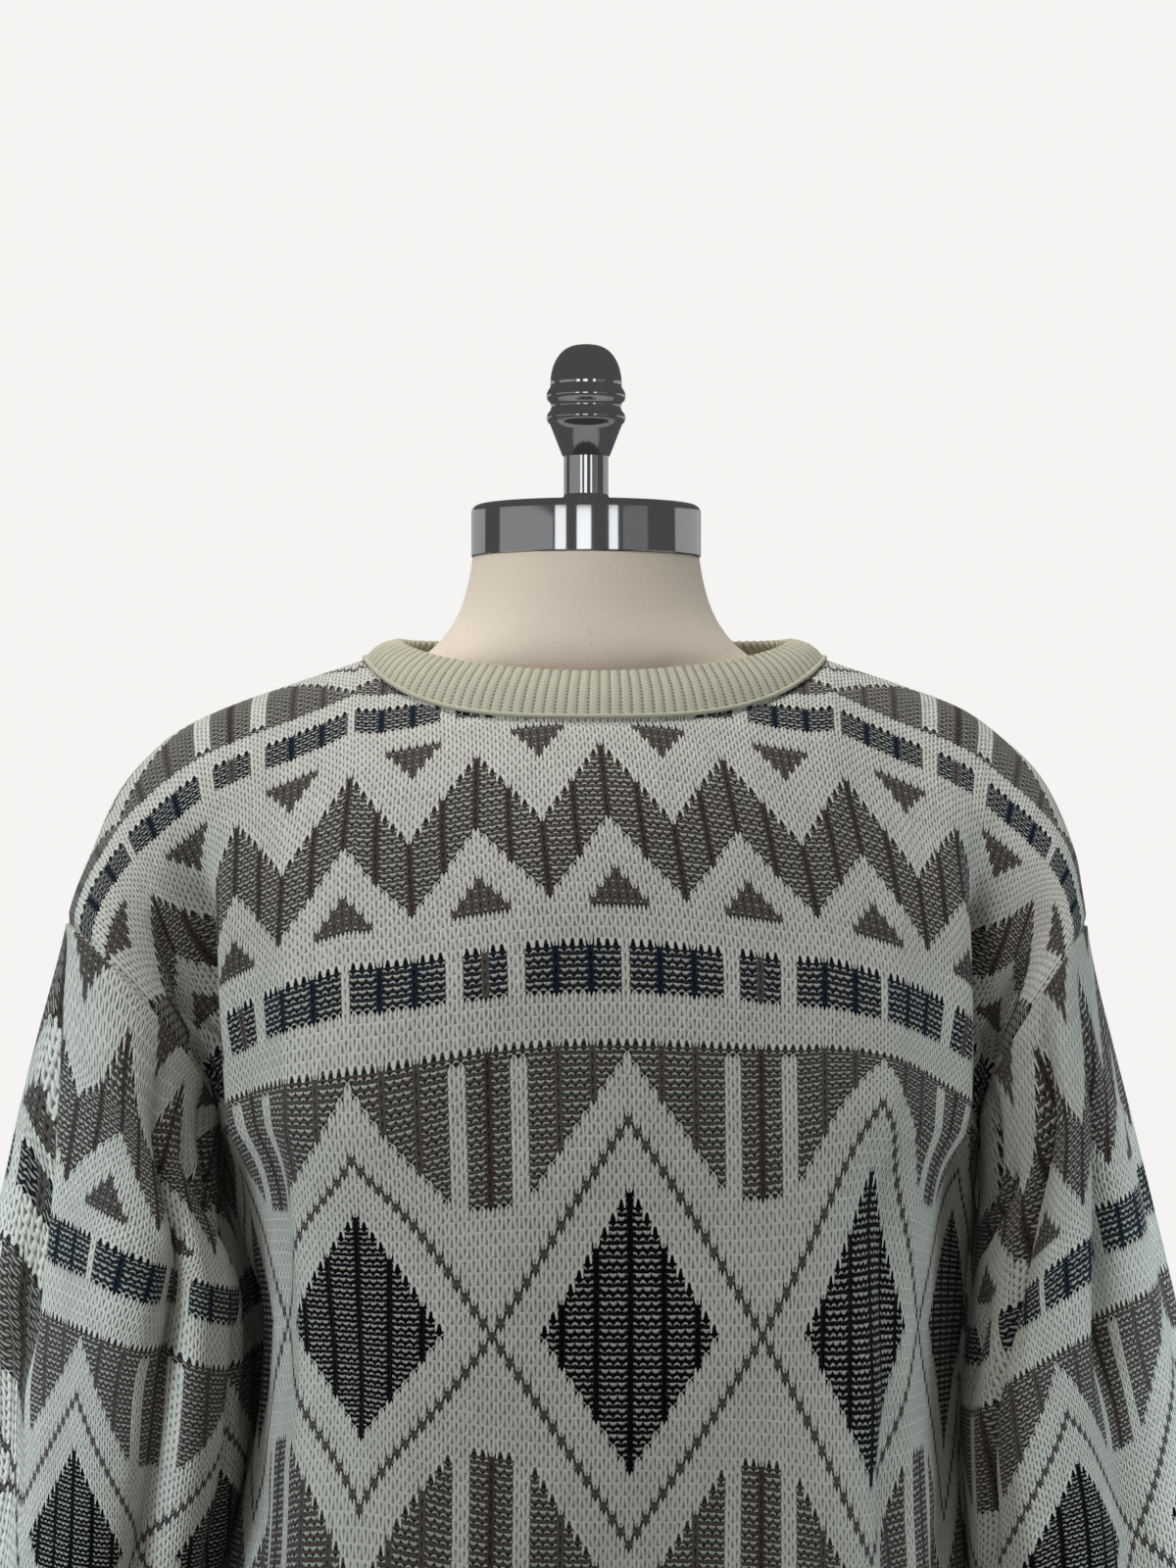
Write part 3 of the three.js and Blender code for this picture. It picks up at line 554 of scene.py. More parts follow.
def sleeve_points(side, turn, along):
    """Points of a sleeve. turn is 0 at the top fold, -1 and 1 under the arm, front negative."""
    share = np.abs(turn)
    face = np.where(turn < 0, -1.0, 1.0)
    ring = at(SLEEVE_RINGS[side], "along", along)
    angle = share * math.pi
    centre_x = (ring["out_x"] + ring["in_x"]) / 2
    centre_z = (ring["out_z"] + ring["in_z"]) / 2
    x = centre_x + (ring["out_x"] - centre_x) * np.cos(angle)
    x = x - side * ring["wrap"] * np.sin(angle) ** 2
    y = face * ring["reach"] * np.sin(angle)
    z = centre_z + (ring["out_z"] - centre_z) * np.cos(angle)
    ringed = np.stack([x, y, z], axis=-1)
    shares = np.linspace(0, 1, ARMHOLE_STEPS)
    front, back = armhole_chain(-1, side), armhole_chain(1, side)
    edge = np.stack([
        np.where(face < 0, np.interp(share, shares, front[:, k]),
                 np.interp(share, shares, back[:, k])) for k in range(3)], axis=-1)
    return mix(edge, ringed, ease(0, ARMHOLE_BLEND, along)[..., None])


def crease_depth(rows, across, down):
    """How far the creases push the cloth out at each place of the flat piece."""
    depth = np.zeros(np.broadcast(across, down).shape)
    for k in range(len(rows["depth"])):
        row = {name: column[k] for name, column in rows.items()}
        run = np.array([row["a1"] - row["a0"], row["d1"] - row["d0"]])
        length = float(np.hypot(*run))
        da, dd = across - row["a0"], down - row["d0"]
        t = (da * run[0] + dd * run[1]) / length ** 2
        inside = np.clip(t, 0, 1)
        off = (da * run[1] - dd * run[0]) / length - row["bow"] * 4 * inside * (1 - inside)
        fade = ease(0, CREASE_FADE, t) * (1 - ease(1 - CREASE_FADE, 1, t))
        depth += row["depth"] * fade * np.exp(-(off / row["width"]) ** 2)
    return depth


def grid_normals(points):
    """Unit normals of a grid that runs down in rows and to the wearer's left in columns."""
    down = np.gradient(points, axis=0)
    sideways = np.gradient(points, axis=1)
    return unit(np.cross(down, sideways))


def closed_normals(normals):
    """Makes the first and last column of a closed grid's normals agree."""
    normals[:, 0] = unit(normals[:, 0] + normals[:, -1])
    normals[:, -1] = normals[:, 0]
    return normals


def uneven(across, down, seed, size):
    """A slow, even-tempered waviness between -1 and 1, so that no two folds are alike."""
    random = np.random.RandomState(seed)
    total = np.zeros(np.broadcast(across, down).shape)
    for _ in range(WAVES):
        fa, fd = random.uniform(0.4, 1.3, 2) * math.pi / size
        phase = random.uniform(0, 2 * math.pi)
        lean = random.choice([-1, 1])
        total += np.sin(across * fa * lean + down * fd * 0.6 + phase)
    return total / WAVES * 1.6


# --- the chart

CREAM, TAUPE, BROWN, NAVY, BLACK, TAUPE_FILL, INK_FILL, BLACK_FILL = range(8)


def repeat(wale):
    """Distance in wales from the middle of the nearest lozenge, 0 to 16."""
    return np.abs((wale + 16) % 32 - 16)


def dashed_band(wale, row):
    """Upright lines on ink between cream gaps, alike in every row."""
    d = repeat(wale) + 0 * row
    cells = np.where(np.isin(d, (4, 8)), NAVY, INK_FILL)
    cells = np.where(d == 16, TAUPE, cells)
    return np.where(np.isin(d, (0, 12, 13)), CREAM, cells)


def zigzag_band(wale, row):
    """A zigzag eight rows deep, with a small triangle in each of its angles."""
    d = np.abs((wale + 8) % 16 - 8)
    cells = np.full(d.shape, CREAM)
    inside = (row >= d) & (row < d + 8)
    cells = np.where(inside, np.where(d % 4 == 0, BROWN, TAUPE_FILL), cells)
    standing = (row >= 13) & (row <= 16) & (d <= row - 13)
    hanging = (row >= -3) & (row <= 0) & (8 - d <= -row)
    return np.where(standing | hanging, TAUPE, cells)


def lozenge_band(wale, row):
    """Lozenges between combs. Rows are counted from the middle, up and down."""
    d = repeat(wale)
    a = np.abs(row)
    comb = (d + a >= 22) & (a >= 10) & (a <= 22) & ~(np.isin(d, (12, 13)) & (a < 22))
    teeth = np.where(np.isin(d, (4, 8)), TAUPE, np.where(d == 16, BROWN, TAUPE_FILL))
    cells = np.where(comb, teeth, CREAM)
    cells = np.where(d + a == 16, TAUPE, cells)
    core = np.where(d % 4 == 0, BLACK, BLACK_FILL)
    return np.where(d + a <= 10, core, cells)


# The bands of each chart: first course, the course after the last, what is knitted there, and
# the course that its rows are counted from. Body courses are counted from the first zigzag's
# peaks, sleeve courses from the armhole.
BODY_BANDS = (
    (CHART_TOP - 1, -13, lozenge_band, -36), (-10, -6, dashed_band, 0), (-3, 17, zigzag_band, 0),
    (20, 24, dashed_band, 0), (28, 73, lozenge_band, 50), (77, 81, dashed_band, 0),
    (84, CHART_FOOT + 1, zigzag_band, 87),
)
SLEEVE_BANDS = (
    (-1, 20, zigzag_band, 3), (23, 27, dashed_band, 0), (31, 76, lozenge_band, 53),
    (80, 84, dashed_band, 0),
)


def charted(bands, wale, course):
    """The yarn of each stitch. The ground between the bands is cream."""
    cells = np.full(np.broadcast(wale, course).shape, CREAM)
    for first, end, band, start in bands:
        inside = (course >= first) & (course < end)
        cells = np.where(inside, band(wale, course - start), cells)
    return cells


# --- meshes


def yarn_table():
    """The colour of each kind of stitch; the last number says plain, dark or flecked."""
    yarns = bpy.context.scene.pullover_yarns
    plain, dark, flecked = 0.0, 0.5, 1.0
    return np.array([
        (*yarns.cream, plain), (*yarns.taupe, dark), (*yarns.brown, dark), (*yarns.navy, dark),
        (*yarns.black, dark), (*yarns.taupe_ground, flecked), (*yarns.ink, flecked),
        (*yarns.black, flecked)])


def fresh_object(name, mesh):
    """A new object in the scene."""
    piece = bpy.data.objects.new(name, mesh)
    bpy.context.scene.collection.objects.link(piece)
    return piece


def chosen(piece):
    """Makes a piece the one that operators work on."""
    bpy.ops.object.select_all(action="DESELECT")
    bpy.context.view_layer.objects.active = piece
    piece.select_set(True)


def mesh_from_grid(name, points, wales, courses, outward, cells=None, above=None):
    """A mesh of one face for each stitch, from a grid of corners in millimetres.

    Corners that fall together become one, and stitches left with two corners are dropped.
    """
    rows, columns = points.shape[0] - 1, points.shape[1] - 1
    flat = np.round(points.reshape(-1, 3), 3)
    unique, index = np.unique(flat, axis=0, return_inverse=True)
    index = index.reshape(points.shape[:2])
    uv = np.stack([np.broadcast_to(wales, index.shape), courses], axis=-1)
    faces, corners, chosen_cells = [], [], []
    for i in range(rows):
        for j in range(columns):
            ring = [(i, j), (i + 1, j), (i + 1, j + 1), (i, j + 1)]
            if not outward:
                ring.reverse()
            kept = []
            for place in ring:
                if index[place] not in [index[k] for k in kept]:
                    kept.append(place)
            if len(kept) < 3:
                continue
            faces.append([int(index[place]) for place in kept])
            corners.extend(uv[place] for place in kept)
            chosen_cells.append((i, j))
    mesh = bpy.data.meshes.new(name)
    mesh.from_pydata((unique * MM).tolist(), [], faces)
    layer = mesh.uv_layers.new(name="stitches")
    layer.data.foreach_set("uv", np.array(corners, float).ravel())
    if cells is not None:
        table_of_yarns = yarn_table()
        rows_of, columns_of = np.array(chosen_cells).T
        for attribute, kinds in (("yarn", cells), ("yarn_above", above)):
            colours = table_of_yarns[kinds[rows_of, columns_of]]
            data = mesh.attributes.new(attribute, "FLOAT_COLOR", "FACE").data
            data.foreach_set("color", colours.ravel())
    mesh.shade_smooth()
    mesh.update()
    return fresh_object(name, mesh)


def thickened(piece, thickness):
    """Gives a sheet its thickness, inwards."""
    chosen(piece)
    solid = piece.modifiers.new("Thickness", "SOLIDIFY")
    solid.thickness = thickness
    solid.offset = -1.0
    bpy.ops.object.modifier_apply(modifier=solid.name)
    return piece


def finished(piece, material, slot, *nodes):
    """Gives a piece its material and its place in the part."""
    piece.data.materials.clear()
    piece.data.materials.append(material)
    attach(piece, "root")
    if nodes:
        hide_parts(*nodes)
    return piece


# --- sums made of nodes


class Reading:
    """A number that a shader works out at each point, which can be added, multiplied and so on."""

    def __init__(self, tree, socket):
        self.tree = tree
        self.socket = socket

    def sum(self, operation, *others, clamp=False):
        """The result of one of Blender's maths operations on this and other values."""
        node = self.tree.nodes.new("ShaderNodeMath")
        node.operation = operation
        node.use_clamp = clamp
        for slot, value in zip(node.inputs, (self, *others)):
            if isinstance(value, Reading):
                self.tree.links.new(value.socket, slot)
            else:
                slot.default_value = value
        return Reading(self.tree, node.outputs[0])

    def __add__(self, other):
        return self.sum("ADD", other)

    def __sub__(self, other):
        return self.sum("SUBTRACT", other)

    def __mul__(self, other):
        return self.sum("MULTIPLY", other)

    def __truediv__(self, other):
        return self.sum("DIVIDE", other)

    def __pow__(self, other):
        return self.sum("POWER", other)

    def under(self, limit):
        return self.sum("LESS_THAN", limit)

    def over(self, limit):
        return self.sum("GREATER_THAN", limit)

    def size(self):
        return self.sum("ABSOLUTE")

    def taken_from(self, value):
        """value minus this reading."""
        return (self * -1.0) + value

    def clamped(self):
        """Held between 0 and 1."""
        return self.sum("ADD", 0.0, clamp=True)

    def hump(self, middle, half):
        """1 at the middle, 0 at half away on either side, and less beyond."""
        return (((self - middle) / half) ** 2.0).taken_from(1.0)

    def least(self, other):
        return self.sum("MINIMUM", other)

    def most(self, other):
        return self.sum("MAXIMUM", other)

    def eased(self, low, high):
        """From 0 at low to 1 at high, with a soft start and end."""
        node = self.tree.nodes.new("ShaderNodeMapRange")
        node.interpolation_type = "SMOOTHSTEP"
        set_values(node, From_Min=low, From_Max=high)
        self.tree.links.new(self.socket, node.inputs["Value"])
        return Reading(self.tree, node.outputs["Result"])


def blended(tree, share, first, second, how="MIX"):
    """A colour between two, or one laid on the other, by a share."""
    node = tree.nodes.new("ShaderNodeMix")
    node.data_type = "RGBA"
    node.blend_type = how
    colours = [slot for slot in node.inputs if slot.type == "RGBA"]
    for slot, value in zip((node.inputs[0], *colours), (share, first, second)):
        put(tree, value, slot)
    return next(slot for slot in node.outputs if slot.type == "RGBA")


def put(tree, value, slot):
    """Feeds a slot from a reading or a socket, or sets it to a value."""
    if isinstance(value, Reading):
        tree.links.new(value.socket, slot)
    elif isinstance(value, bpy.types.NodeSocket):
        tree.links.new(value, slot)
    else:
        slot.default_value = value


def mixed(share, first, second):
    """A reading between two, by a share."""
    return first + (second - first) * share


def set_values(node, **values):
    """Sets slots by name, with _ for each space."""
    for name, value in values.items():
        node.inputs[name.replace("_", " ")].default_value = value


def noise(tree, place, scale, detail=2.0, roughness=0.5):
    """Cloudy noise from 0 to 1."""
    node = tree.nodes.new("ShaderNodeTexNoise")
    set_values(node, Scale=scale, Detail=detail, Roughness=roughness)
    tree.links.new(place, node.inputs["Vector"])
    return Reading(tree, node.outputs["Fac"])


def shaded(tree, colour, shade, slot):
    """Feeds a slot with a colour darkened by a shade."""
    grey = tree.nodes.new("ShaderNodeCombineColor")
    for part in grey.inputs[:3]:
        tree.links.new(shade.socket, part)
    tree.links.new(blended(tree, 1.0, colour, grey.outputs[0], "MULTIPLY"), slot)


def new_group(name, inputs, outputs):
    """An empty node group with its slots, and the nodes at its two ends."""
    tree = bpy.data.node_groups.new(name, "ShaderNodeTree")
    for label, kind, default in inputs:
        socket = tree.interface.new_socket(label, in_out="INPUT", socket_type=kind)
        if default is not None:
            socket.default_value = default
    for label, kind in outputs:
        tree.interface.new_socket(label, in_out="OUTPUT", socket_type=kind)
    return tree, tree.nodes.new("NodeGroupInput"), tree.nodes.new("NodeGroupOutput")


def stitch_group():
    """Knitted stitches: chain links in plain cloth, flecked rows in the two-coloured areas."""
    tree, given, result = new_group(
        "Jacquard stitches",
        [("Wale", "NodeSocketFloat", 0.0), ("Course", "NodeSocketFloat", 0.0),
         ("Yarn", "NodeSocketColor", (0.5, 0.5, 0.5, 1)), ("Kind", "NodeSocketFloat", 0.0),
         ("Yarn above", "NodeSocketColor", (0.5, 0.5, 0.5, 1)),
         ("Kind above", "NodeSocketFloat", 0.0),
         ("Ground", "NodeSocketColor", (0.6, 0.6, 0.6, 1)), ("Place", "NodeSocketVector", None)],
        [("Colour", "NodeSocketColor"), ("Height", "NodeSocketFloat")])
    place = given.outputs["Place"]

    def reading(label):
        return Reading(tree, given.outputs[label])

    jitter = noise(tree, place, 520.0, 2.0) - 0.5
    drift = noise(tree, place, 390.0, 2.0) - 0.5
    swell = noise(tree, place, 150.0, 1.0)
    wale = reading("Wale") + jitter * 0.22
    course = reading("Course")
    # x is the distance from the middle of the wale, soft how far up its course a point lies.
    x = (wale - wale.sum("ROUND")).size()
    soft = course.sum("FRACT") + drift * 0.22

    kind, kind_above = reading("Kind"), reading("Kind above")
    flecked, flecked_above = kind.over(0.75), kind_above.over(0.75)
    light, light_above = kind.under(0.25), kind_above.under(0.25)
    dark_above = (flecked_above + light_above).taken_from(1.0)

    # How far the stitch above hangs down into this one.
    off_leg = (((x - 0.27) / 0.15) ** 2.0).least(1.0)
    dark = (flecked + light).taken_from(1.0)
    under_dark = light * dark_above * (off_leg * 0.34 + 0.26)
    under_light = dark * light_above * (x.eased(0.20, 0.48).taken_from(1.0) * 0.60)
    under_flecked = light * flecked_above * (x.eased(0.12, 0.45) * 0.42 + 0.10)
    lobes = flecked * light_above * (x.eased(0.10, 0.36) * 0.62 + 0.06)
    hangs = soft.under(under_dark + under_light + under_flecked + lobes)
    shows_dark = mixed(hangs, dark, dark_above)
    is_flecked = mixed(hangs, flecked, flecked_above).most(shows_dark * x.over(0.37))
    is_plain = is_flecked.taken_from(1.0)

    # Chain links: two legs that close to a point over the next link.
    closing = ((soft - 0.2) / 0.8).clamped() ** 1.2
    middle = closing * -0.14 + 0.325
    width = swell * 0.07 + 0.19
    legs = x.hump(middle, width) * soft.eased(0.02, 0.20)
    tip = ((x / 0.36) ** 2.0 + (soft / 0.27) ** 2.0).taken_from(1.1)
    lobe = x.hump(0.5, 0.42) * hangs * flecked
    link = legs.most(tip).most(lobe).most(0.0) * is_plain
    ply = (course * 3.0 + x * 2.6).sum("FRACT").taken_from(0.5).size()

    # Flecks: a thick dash on the wale and a thin arch half a wale and half a course away.
    beyond = hangs.taken_from(1.0)
    thick_middle = (x * x) * -0.55 + 0.53
    thick = soft.hump(thick_middle, 0.15) - (x / 0.50) ** 3.0
    thick = thick * light_above.taken_from(1.0).most(soft.over(0.85))
    half = x.taken_from(0.5)
    turned_course = soft - soft.sum("ROUND")
    thin_middle = (half * half) * 0.9 - 0.05
    thin = turned_course.hump(thin_middle, 0.115) - (half / 0.48) ** 3.0
    fleck = thick.most(thin * 0.62).most(0.0) * is_flecked
    line = (soft - 0.5).size().hump(0.26, 0.13).most(0.0)

    # Hairs, stray threads of the other colour, and slow clouds of shade.
    fibre = noise(tree, place, 2600.0, 3.0, 0.7)
    stray = noise(tree, place, 1350.0, 4.0, 0.75).eased(0.56, 0.80)
    cloud = noise(tree, place, 60.0, 2.0)
    height = link + fleck.most(line * 0.4 * is_flecked * beyond)
    height = height + ply * 0.12 + fibre * 0.14

    yarn = blended(tree, hangs, given.outputs["Yarn"], given.outputs["Yarn above"])
    shown = (fleck.eased(0.02, 0.55) * 0.80).most(stray * 0.26)
    colour = blended(tree, shown, yarn, given.outputs["Ground"])
    # Painted shade: the colour is darkened where the stitches lie low, in the gaps between the wales,
    # the holes of the links and the grooves of the ply, since the bump alone casts no shade.
    depth = height.eased(0.04, 0.46)
    shade = depth * 0.80 + 0.20
    shade = shade * (fibre * 0.34 + 0.84) * (cloud * 0.16 + 0.92) * (ply * 0.20 + 0.93)
    shaded(tree, colour, shade, result.inputs["Colour"])
    tree.links.new(height.socket, result.inputs["Height"])
    return tree


def new_material(name):
    """A new material, its nodes and its surface."""
    material = bpy.data.materials.new(name)
    material.use_nodes = True
    tree = material.node_tree
    return material, tree, tree.nodes["Principled BSDF"]


def object_place(tree):
    """Where a point lies in the object."""
    return tree.nodes.new("ShaderNodeTexCoord").outputs["Object"]


def stitch_counts(tree):
    """The wale and the course of each point."""
    uv = tree.nodes.new("ShaderNodeUVMap")
    uv.uv_map = "stitches"
    split = tree.nodes.new("ShaderNodeSeparateXYZ")
    tree.links.new(uv.outputs["UV"], split.inputs[0])
    return split.outputs["X"], split.outputs["Y"]


def embossed(tree, surface, height, distance, strength):
    """Makes light fall as if the surface stood out by the height."""
    bump = tree.nodes.new("ShaderNodeBump")
    set_values(bump, Strength=strength, Distance=distance)
    put(tree, height, bump.inputs["Height"])
    tree.links.new(bump.outputs["Normal"], surface.inputs["Normal"])


def woolly(surface):
    """The dull finish of wool, with the faint sheen of its loose hairs."""
    set_values(surface, Roughness=0.92, Specular_IOR_Level=0.05, Sheen_Weight=0.07,
               Sheen_Roughness=0.45, Sheen_Tint=(0.93, 0.95, 0.95, 1))


def jacquard_material(group):
    """The two-coloured knit: the stitches, in the yarns that each face names."""
    material, tree, surface = new_material("jacquard_yarns")
    stitches = tree.nodes.new("ShaderNodeGroup")
    stitches.node_tree = group
    for label, count in zip(("Wale", "Course"), stitch_counts(tree)):
        tree.links.new(count, stitches.inputs[label])
    for attribute, colour, kind in (("yarn", "Yarn", "Kind"),
                                    ("yarn_above", "Yarn above", "Kind above")):
        read = tree.nodes.new("ShaderNodeAttribute")
        read.attribute_name = attribute
        tree.links.new(read.outputs["Color"], stitches.inputs[colour])
        tree.links.new(read.outputs["Alpha"], stitches.inputs[kind])
    yarns = bpy.context.scene.pullover_yarns
    stitches.inputs["Ground"].default_value = (*yarns.fleck, 1)
    tree.links.new(object_place(tree), stitches.inputs["Place"])
    tree.links.new(stitches.outputs["Colour"], surface.inputs["Base Color"])
    embossed(tree, surface, stitches.outputs["Height"], 0.0007, 0.9)
    woolly(surface)
    return material


def rib_material(name, colour):
    """Ribbing: smooth ridges with a line of small holes between them."""
    material, tree, surface = new_material(name)
    wale, course = (Reading(tree, count) for count in stitch_counts(tree))
    place = object_place(tree)
    x = (wale - wale.sum("ROUND")).size()
    f = course.sum("FRACT") - 0.5
    hole = (((x.taken_from(0.5)) / 0.17) ** 2.0 + (f / 0.30) ** 2.0).taken_from(1.0).most(0.0)
    leg = x.hump(0.13, 0.13).most(0.0)
    slant = ((f + x * 1.4).sum("FRACT") - 0.5).size() * 2.0
    fibre = noise(tree, place, 2400.0, 2.0, 0.7)
    cloud = noise(tree, place, 45.0, 2.0)
    height = (leg * 0.35 + slant * 0.16 + fibre * 0.22) - hole
    # Painted shade: the colour darkens in the valleys between the ribs and in the holes.
    painted_valley_shade = x.eased(0.30, 0.5)
    shade = (painted_valley_shade * -0.30 + 1.0) * (hole.eased(0.0, 0.5) * -0.30 + 1.0)
    shade = shade * (fibre * 0.26 + 0.87) * (cloud * 0.16 + 0.92) * (slant * 0.10 + 0.93)
    shaded(tree, (*colour, 1), shade, surface.inputs["Base Color"])
    embossed(tree, surface, height, 0.0005, 0.8)
    woolly(surface)
    return material


def linen_material():
    """Fine linen twill with small dark slubs."""
    material, tree, surface = new_material("linen_twill")
    place = object_place(tree)
    split = tree.nodes.new("ShaderNodeSeparateXYZ")
    tree.links.new(place, split.inputs[0])
    x, y, z = (Reading(tree, split.outputs[i]) for i in range(3))
    neck_radius, warp_pitch, weft_pitch = 0.053, 0.00058, 0.00062
    warp_slant, weft_slant = 0.0016, 0.003
    around = y.sum("ARCTAN2", x) * neck_radius
    warp = (around * 2 * math.pi / warp_pitch + z * 2 * math.pi / warp_slant).sum("SINE")
    weft = (z * 2 * math.pi / weft_pitch - around * 2 * math.pi / weft_slant).sum("SINE")
    wander = noise(tree, place, 900.0, 3.0, 0.7)
    slub = noise(tree, place, 260.0, 2.0, 0.8).eased(0.66, 0.74)
    blush = noise(tree, place, 14.0, 1.0)
    height = warp * 0.5 + weft * 0.18 + wander * 0.9
    # Painted shade along the twill: the warp and weft lines also darken the colour where the weave
    # dips; the wander and the slubs vary its tone.
    shade = (warp * 0.075 + 0.95) * (weft * 0.02 + 1.0) * (wander * 0.16 + 0.92)
    shade = shade * (slub * -0.16 + 1.0)
    colour = blended(tree, blush, (0.86, 0.74, 0.59, 1), (0.90, 0.77, 0.66, 1))
    shaded(tree, colour, shade, surface.inputs["Base Color"])
    embossed(tree, surface, height, 0.00012, 0.6)
    set_values(surface, Roughness=0.85, Specular_IOR_Level=0.2, Sheen_Weight=0.1)
    return material


def chrome_material():
    """Polished chrome with faint wiping marks."""
    material, tree, surface = new_material("chrome_plate")
    place = object_place(tree)
    smear = noise(tree, place, 90.0, 4.0, 0.6)
    speck = noise(tree, place, 900.0, 2.0, 0.6).eased(0.70, 0.80)
    shade = smear * 0.10 + 0.90 - speck * 0.10
    shaded(tree, (0.52, 0.53, 0.54, 1), shade, surface.inputs["Base Color"])
    set_values(surface, Metallic=1.0)
    put(tree, smear * 0.07 + speck * 0.15 + 0.035, surface.inputs["Roughness"])
    return material


def finish(name, make):
    """The material of that name, made the first time it is asked for."""
    return bpy.data.materials.get(name) or make()


def jacquard():
    """The knit of the body and sleeves."""
    return finish("jacquard_yarns", lambda: jacquard_material(stitch_group()))


def ribbing(yarn):
    """The ribbing of the yarn called ivory or cream."""
    name = "rib_yarn_" + yarn
    yarns = bpy.context.scene.pullover_yarns
    return finish(name, lambda: rib_material(name, yarns.rib if yarn == "ivory" else yarns.cream))


# --- cloth pieces


def course_heights(wale, course, face):
    """Distance down the flat panel of each stitch corner, with the droop towards the sides."""
    out = np.abs(wale)
    down = at(COURSE_LINES, "course", course)["down"]
    droop = DROOP["depth"] * (out / DROOP["across"]) ** DROOP["power"]
    droop = droop * (1 - ease(*DROOP["fades"], course))
    off = course - STRETCH["course"]
    pull = off * (1 - ease(*STRETCH["fades"], np.abs(off)))
    pull = pull * np.exp(-((out - STRETCH["across"]) / STRETCH["width"]) ** 2)
    lift = RAISED["depth"] * np.exp(-(wale / RAISED["width"]) ** 2)
    lift = lift * (1 - ease(*RAISED["fades"], course))
    return down + droop - lift + (pull * np.sign(wale) if face < 0 else 0.0)


def wale_places(wale, course, face):
    """Distance across the flat panel of each stitch corner."""
    line = at(WALE_LINES, "course", course)
    share = wale / CHART_EDGE
    spread = line["spread"]
    rest = (HALF_CHEST - CHART_EDGE * spread) / CHART_EDGE ** 3
    off = (np.abs(wale) - SHIFTED["across"]) / SHIFTED["width"]
    bunch = SHIFTED["depth"] * np.exp(-off ** 2)
    bunch = bunch * ease(*SHIFTED["comes"], course) * (1 - ease(*SHIFTED["fades"], course))
    centre = line["centre"] if face < 0 else 0.0
    return (centre * (1 - share ** 2) + spread * wale + rest * wale ** 3
            + bunch * np.sign(wale))


def limits_of_courses(wales, face):
    """The first and last course of each column, at the panel's top and bottom edges."""
    fine = np.linspace(CHART_TOP, CHART_FOOT, 8 * (CHART_FOOT - CHART_TOP) + 1)[:, None]
    down = course_heights(wales, fine, face)
    across = wale_places(wales, fine, face)
    over = down - top_of_panel(face, across)
    first = np.array([np.interp(GAP, over[:, j], fine[:, 0]) for j in range(len(wales))])
    last = np.array([np.interp(RIB_TOP - GAP, down[:, j], fine[:, 0]) for j in range(len(wales))])
    return first, last


def panel_swell(face, across, down, edge):
    """The slow waves of a panel, and its side seams standing out below the arms."""
    waves = WAVE_DEPTH * uneven(across, down, 7 + face, WAVE_LENGTH) * ease(0, WAVE_START, edge)
    side = np.where(across < 0, at(SIDE_SWELL[-1], "down", down)["depth"],
                    at(SIDE_SWELL[1], "down", down)["depth"])
    return waves + side * np.exp(-((HALF_CHEST - np.abs(across)) / 40.0) ** 2)


def panel_surface(face, across, down, edge, sink):
    """Points of a panel with its creases and sunken seams, and the way out at each."""
    points = panel_points(face, across, down)
    outward = grid_normals(points) * -face
    depth = crease_depth(PANEL_CREASES[face], across, down)
    depth = depth + panel_swell(face, across, down, edge)
    depth = depth - sink * (1 - ease(0, SEAM_WIDTH, edge))
    return points + outward * depth[..., None], outward


def knitted(name, points, wales, courses, lines, bands, outward, node):
    """A piece of jacquard from the corners of its stitches and its chart."""
    wale = (wales[:-1] + 0.5).astype(int)[None, :]
    course = lines[:-1, None].astype(int)
    piece = mesh_from_grid(
        name, points, wales, courses, outward,
        charted(bands, wale, course), charted(bands, wale, course - 1))
    thickened(piece, bpy.context.scene.pullover_gauge.thickness)
    return finished(piece, jacquard(), "jacquard_knit", node)


def body_panel(name, face, node):
    """The front (-1) or the back (1)."""
    wales = np.arange(-CHART_EDGE, CHART_EDGE + 0.5)
    first, last = limits_of_courses(wales, face)
    lines = np.arange(math.floor(first.min()), math.ceil(last.max()) + 1.0)
    courses = np.clip(lines[:, None], first, last)
    down = course_heights(wales, courses, face)
    across = wale_places(wales, courses, face)
    across = np.clip(across, -(HALF_CHEST - GAP), HALF_CHEST - GAP)
    edge = np.minimum(HALF_CHEST - np.abs(across), down - top_of_panel(face, across))
    points = panel_surface(face, across, down, edge, SEAM_SINK)[0]
    return knitted(name, points, wales, courses, lines, BODY_BANDS, face < 0, node)


def sleeve_normals(side, turn, along):
    """Unit normals of the smooth sleeve, outwards."""
    down = (sleeve_points(side, turn, np.minimum(along + 2, CUFF_END))
            - sleeve_points(side, turn, np.maximum(along - 2, 0)))
    onward = (sleeve_points(side, np.minimum(turn + 0.01, 1), along)
              - sleeve_points(side, np.maximum(turn - 0.01, -1), along))
    return unit(np.cross(down, onward)) * side


def sleeve_round(side, wale, course):
    """Distance round the sleeve from its top fold of each stitch corner, front negative."""
    rows = at(SLEEVE_WALES[side], "course", course)
    knots = np.stack([rows[str(k)] for k in range(0, 73, WALE_STEP)], axis=-1)
    slopes = np.gradient(knots, axis=-1)
    front = -wale + 0 * course
    step = np.clip(front / WALE_STEP, 0, 8.999)
    i = np.floor(step).astype(int)[..., None]
    before, after = (np.take_along_axis(knots, k, -1)[..., 0] for k in (i, i + 1))
    first, last = (np.take_along_axis(slopes, k, -1)[..., 0] for k in (i, i + 1))
    round_front = hermite(before, after, first, last, step - i[..., 0])
    return -(round_front + SLEEVE_BACK_WALE * np.minimum(front, 0))


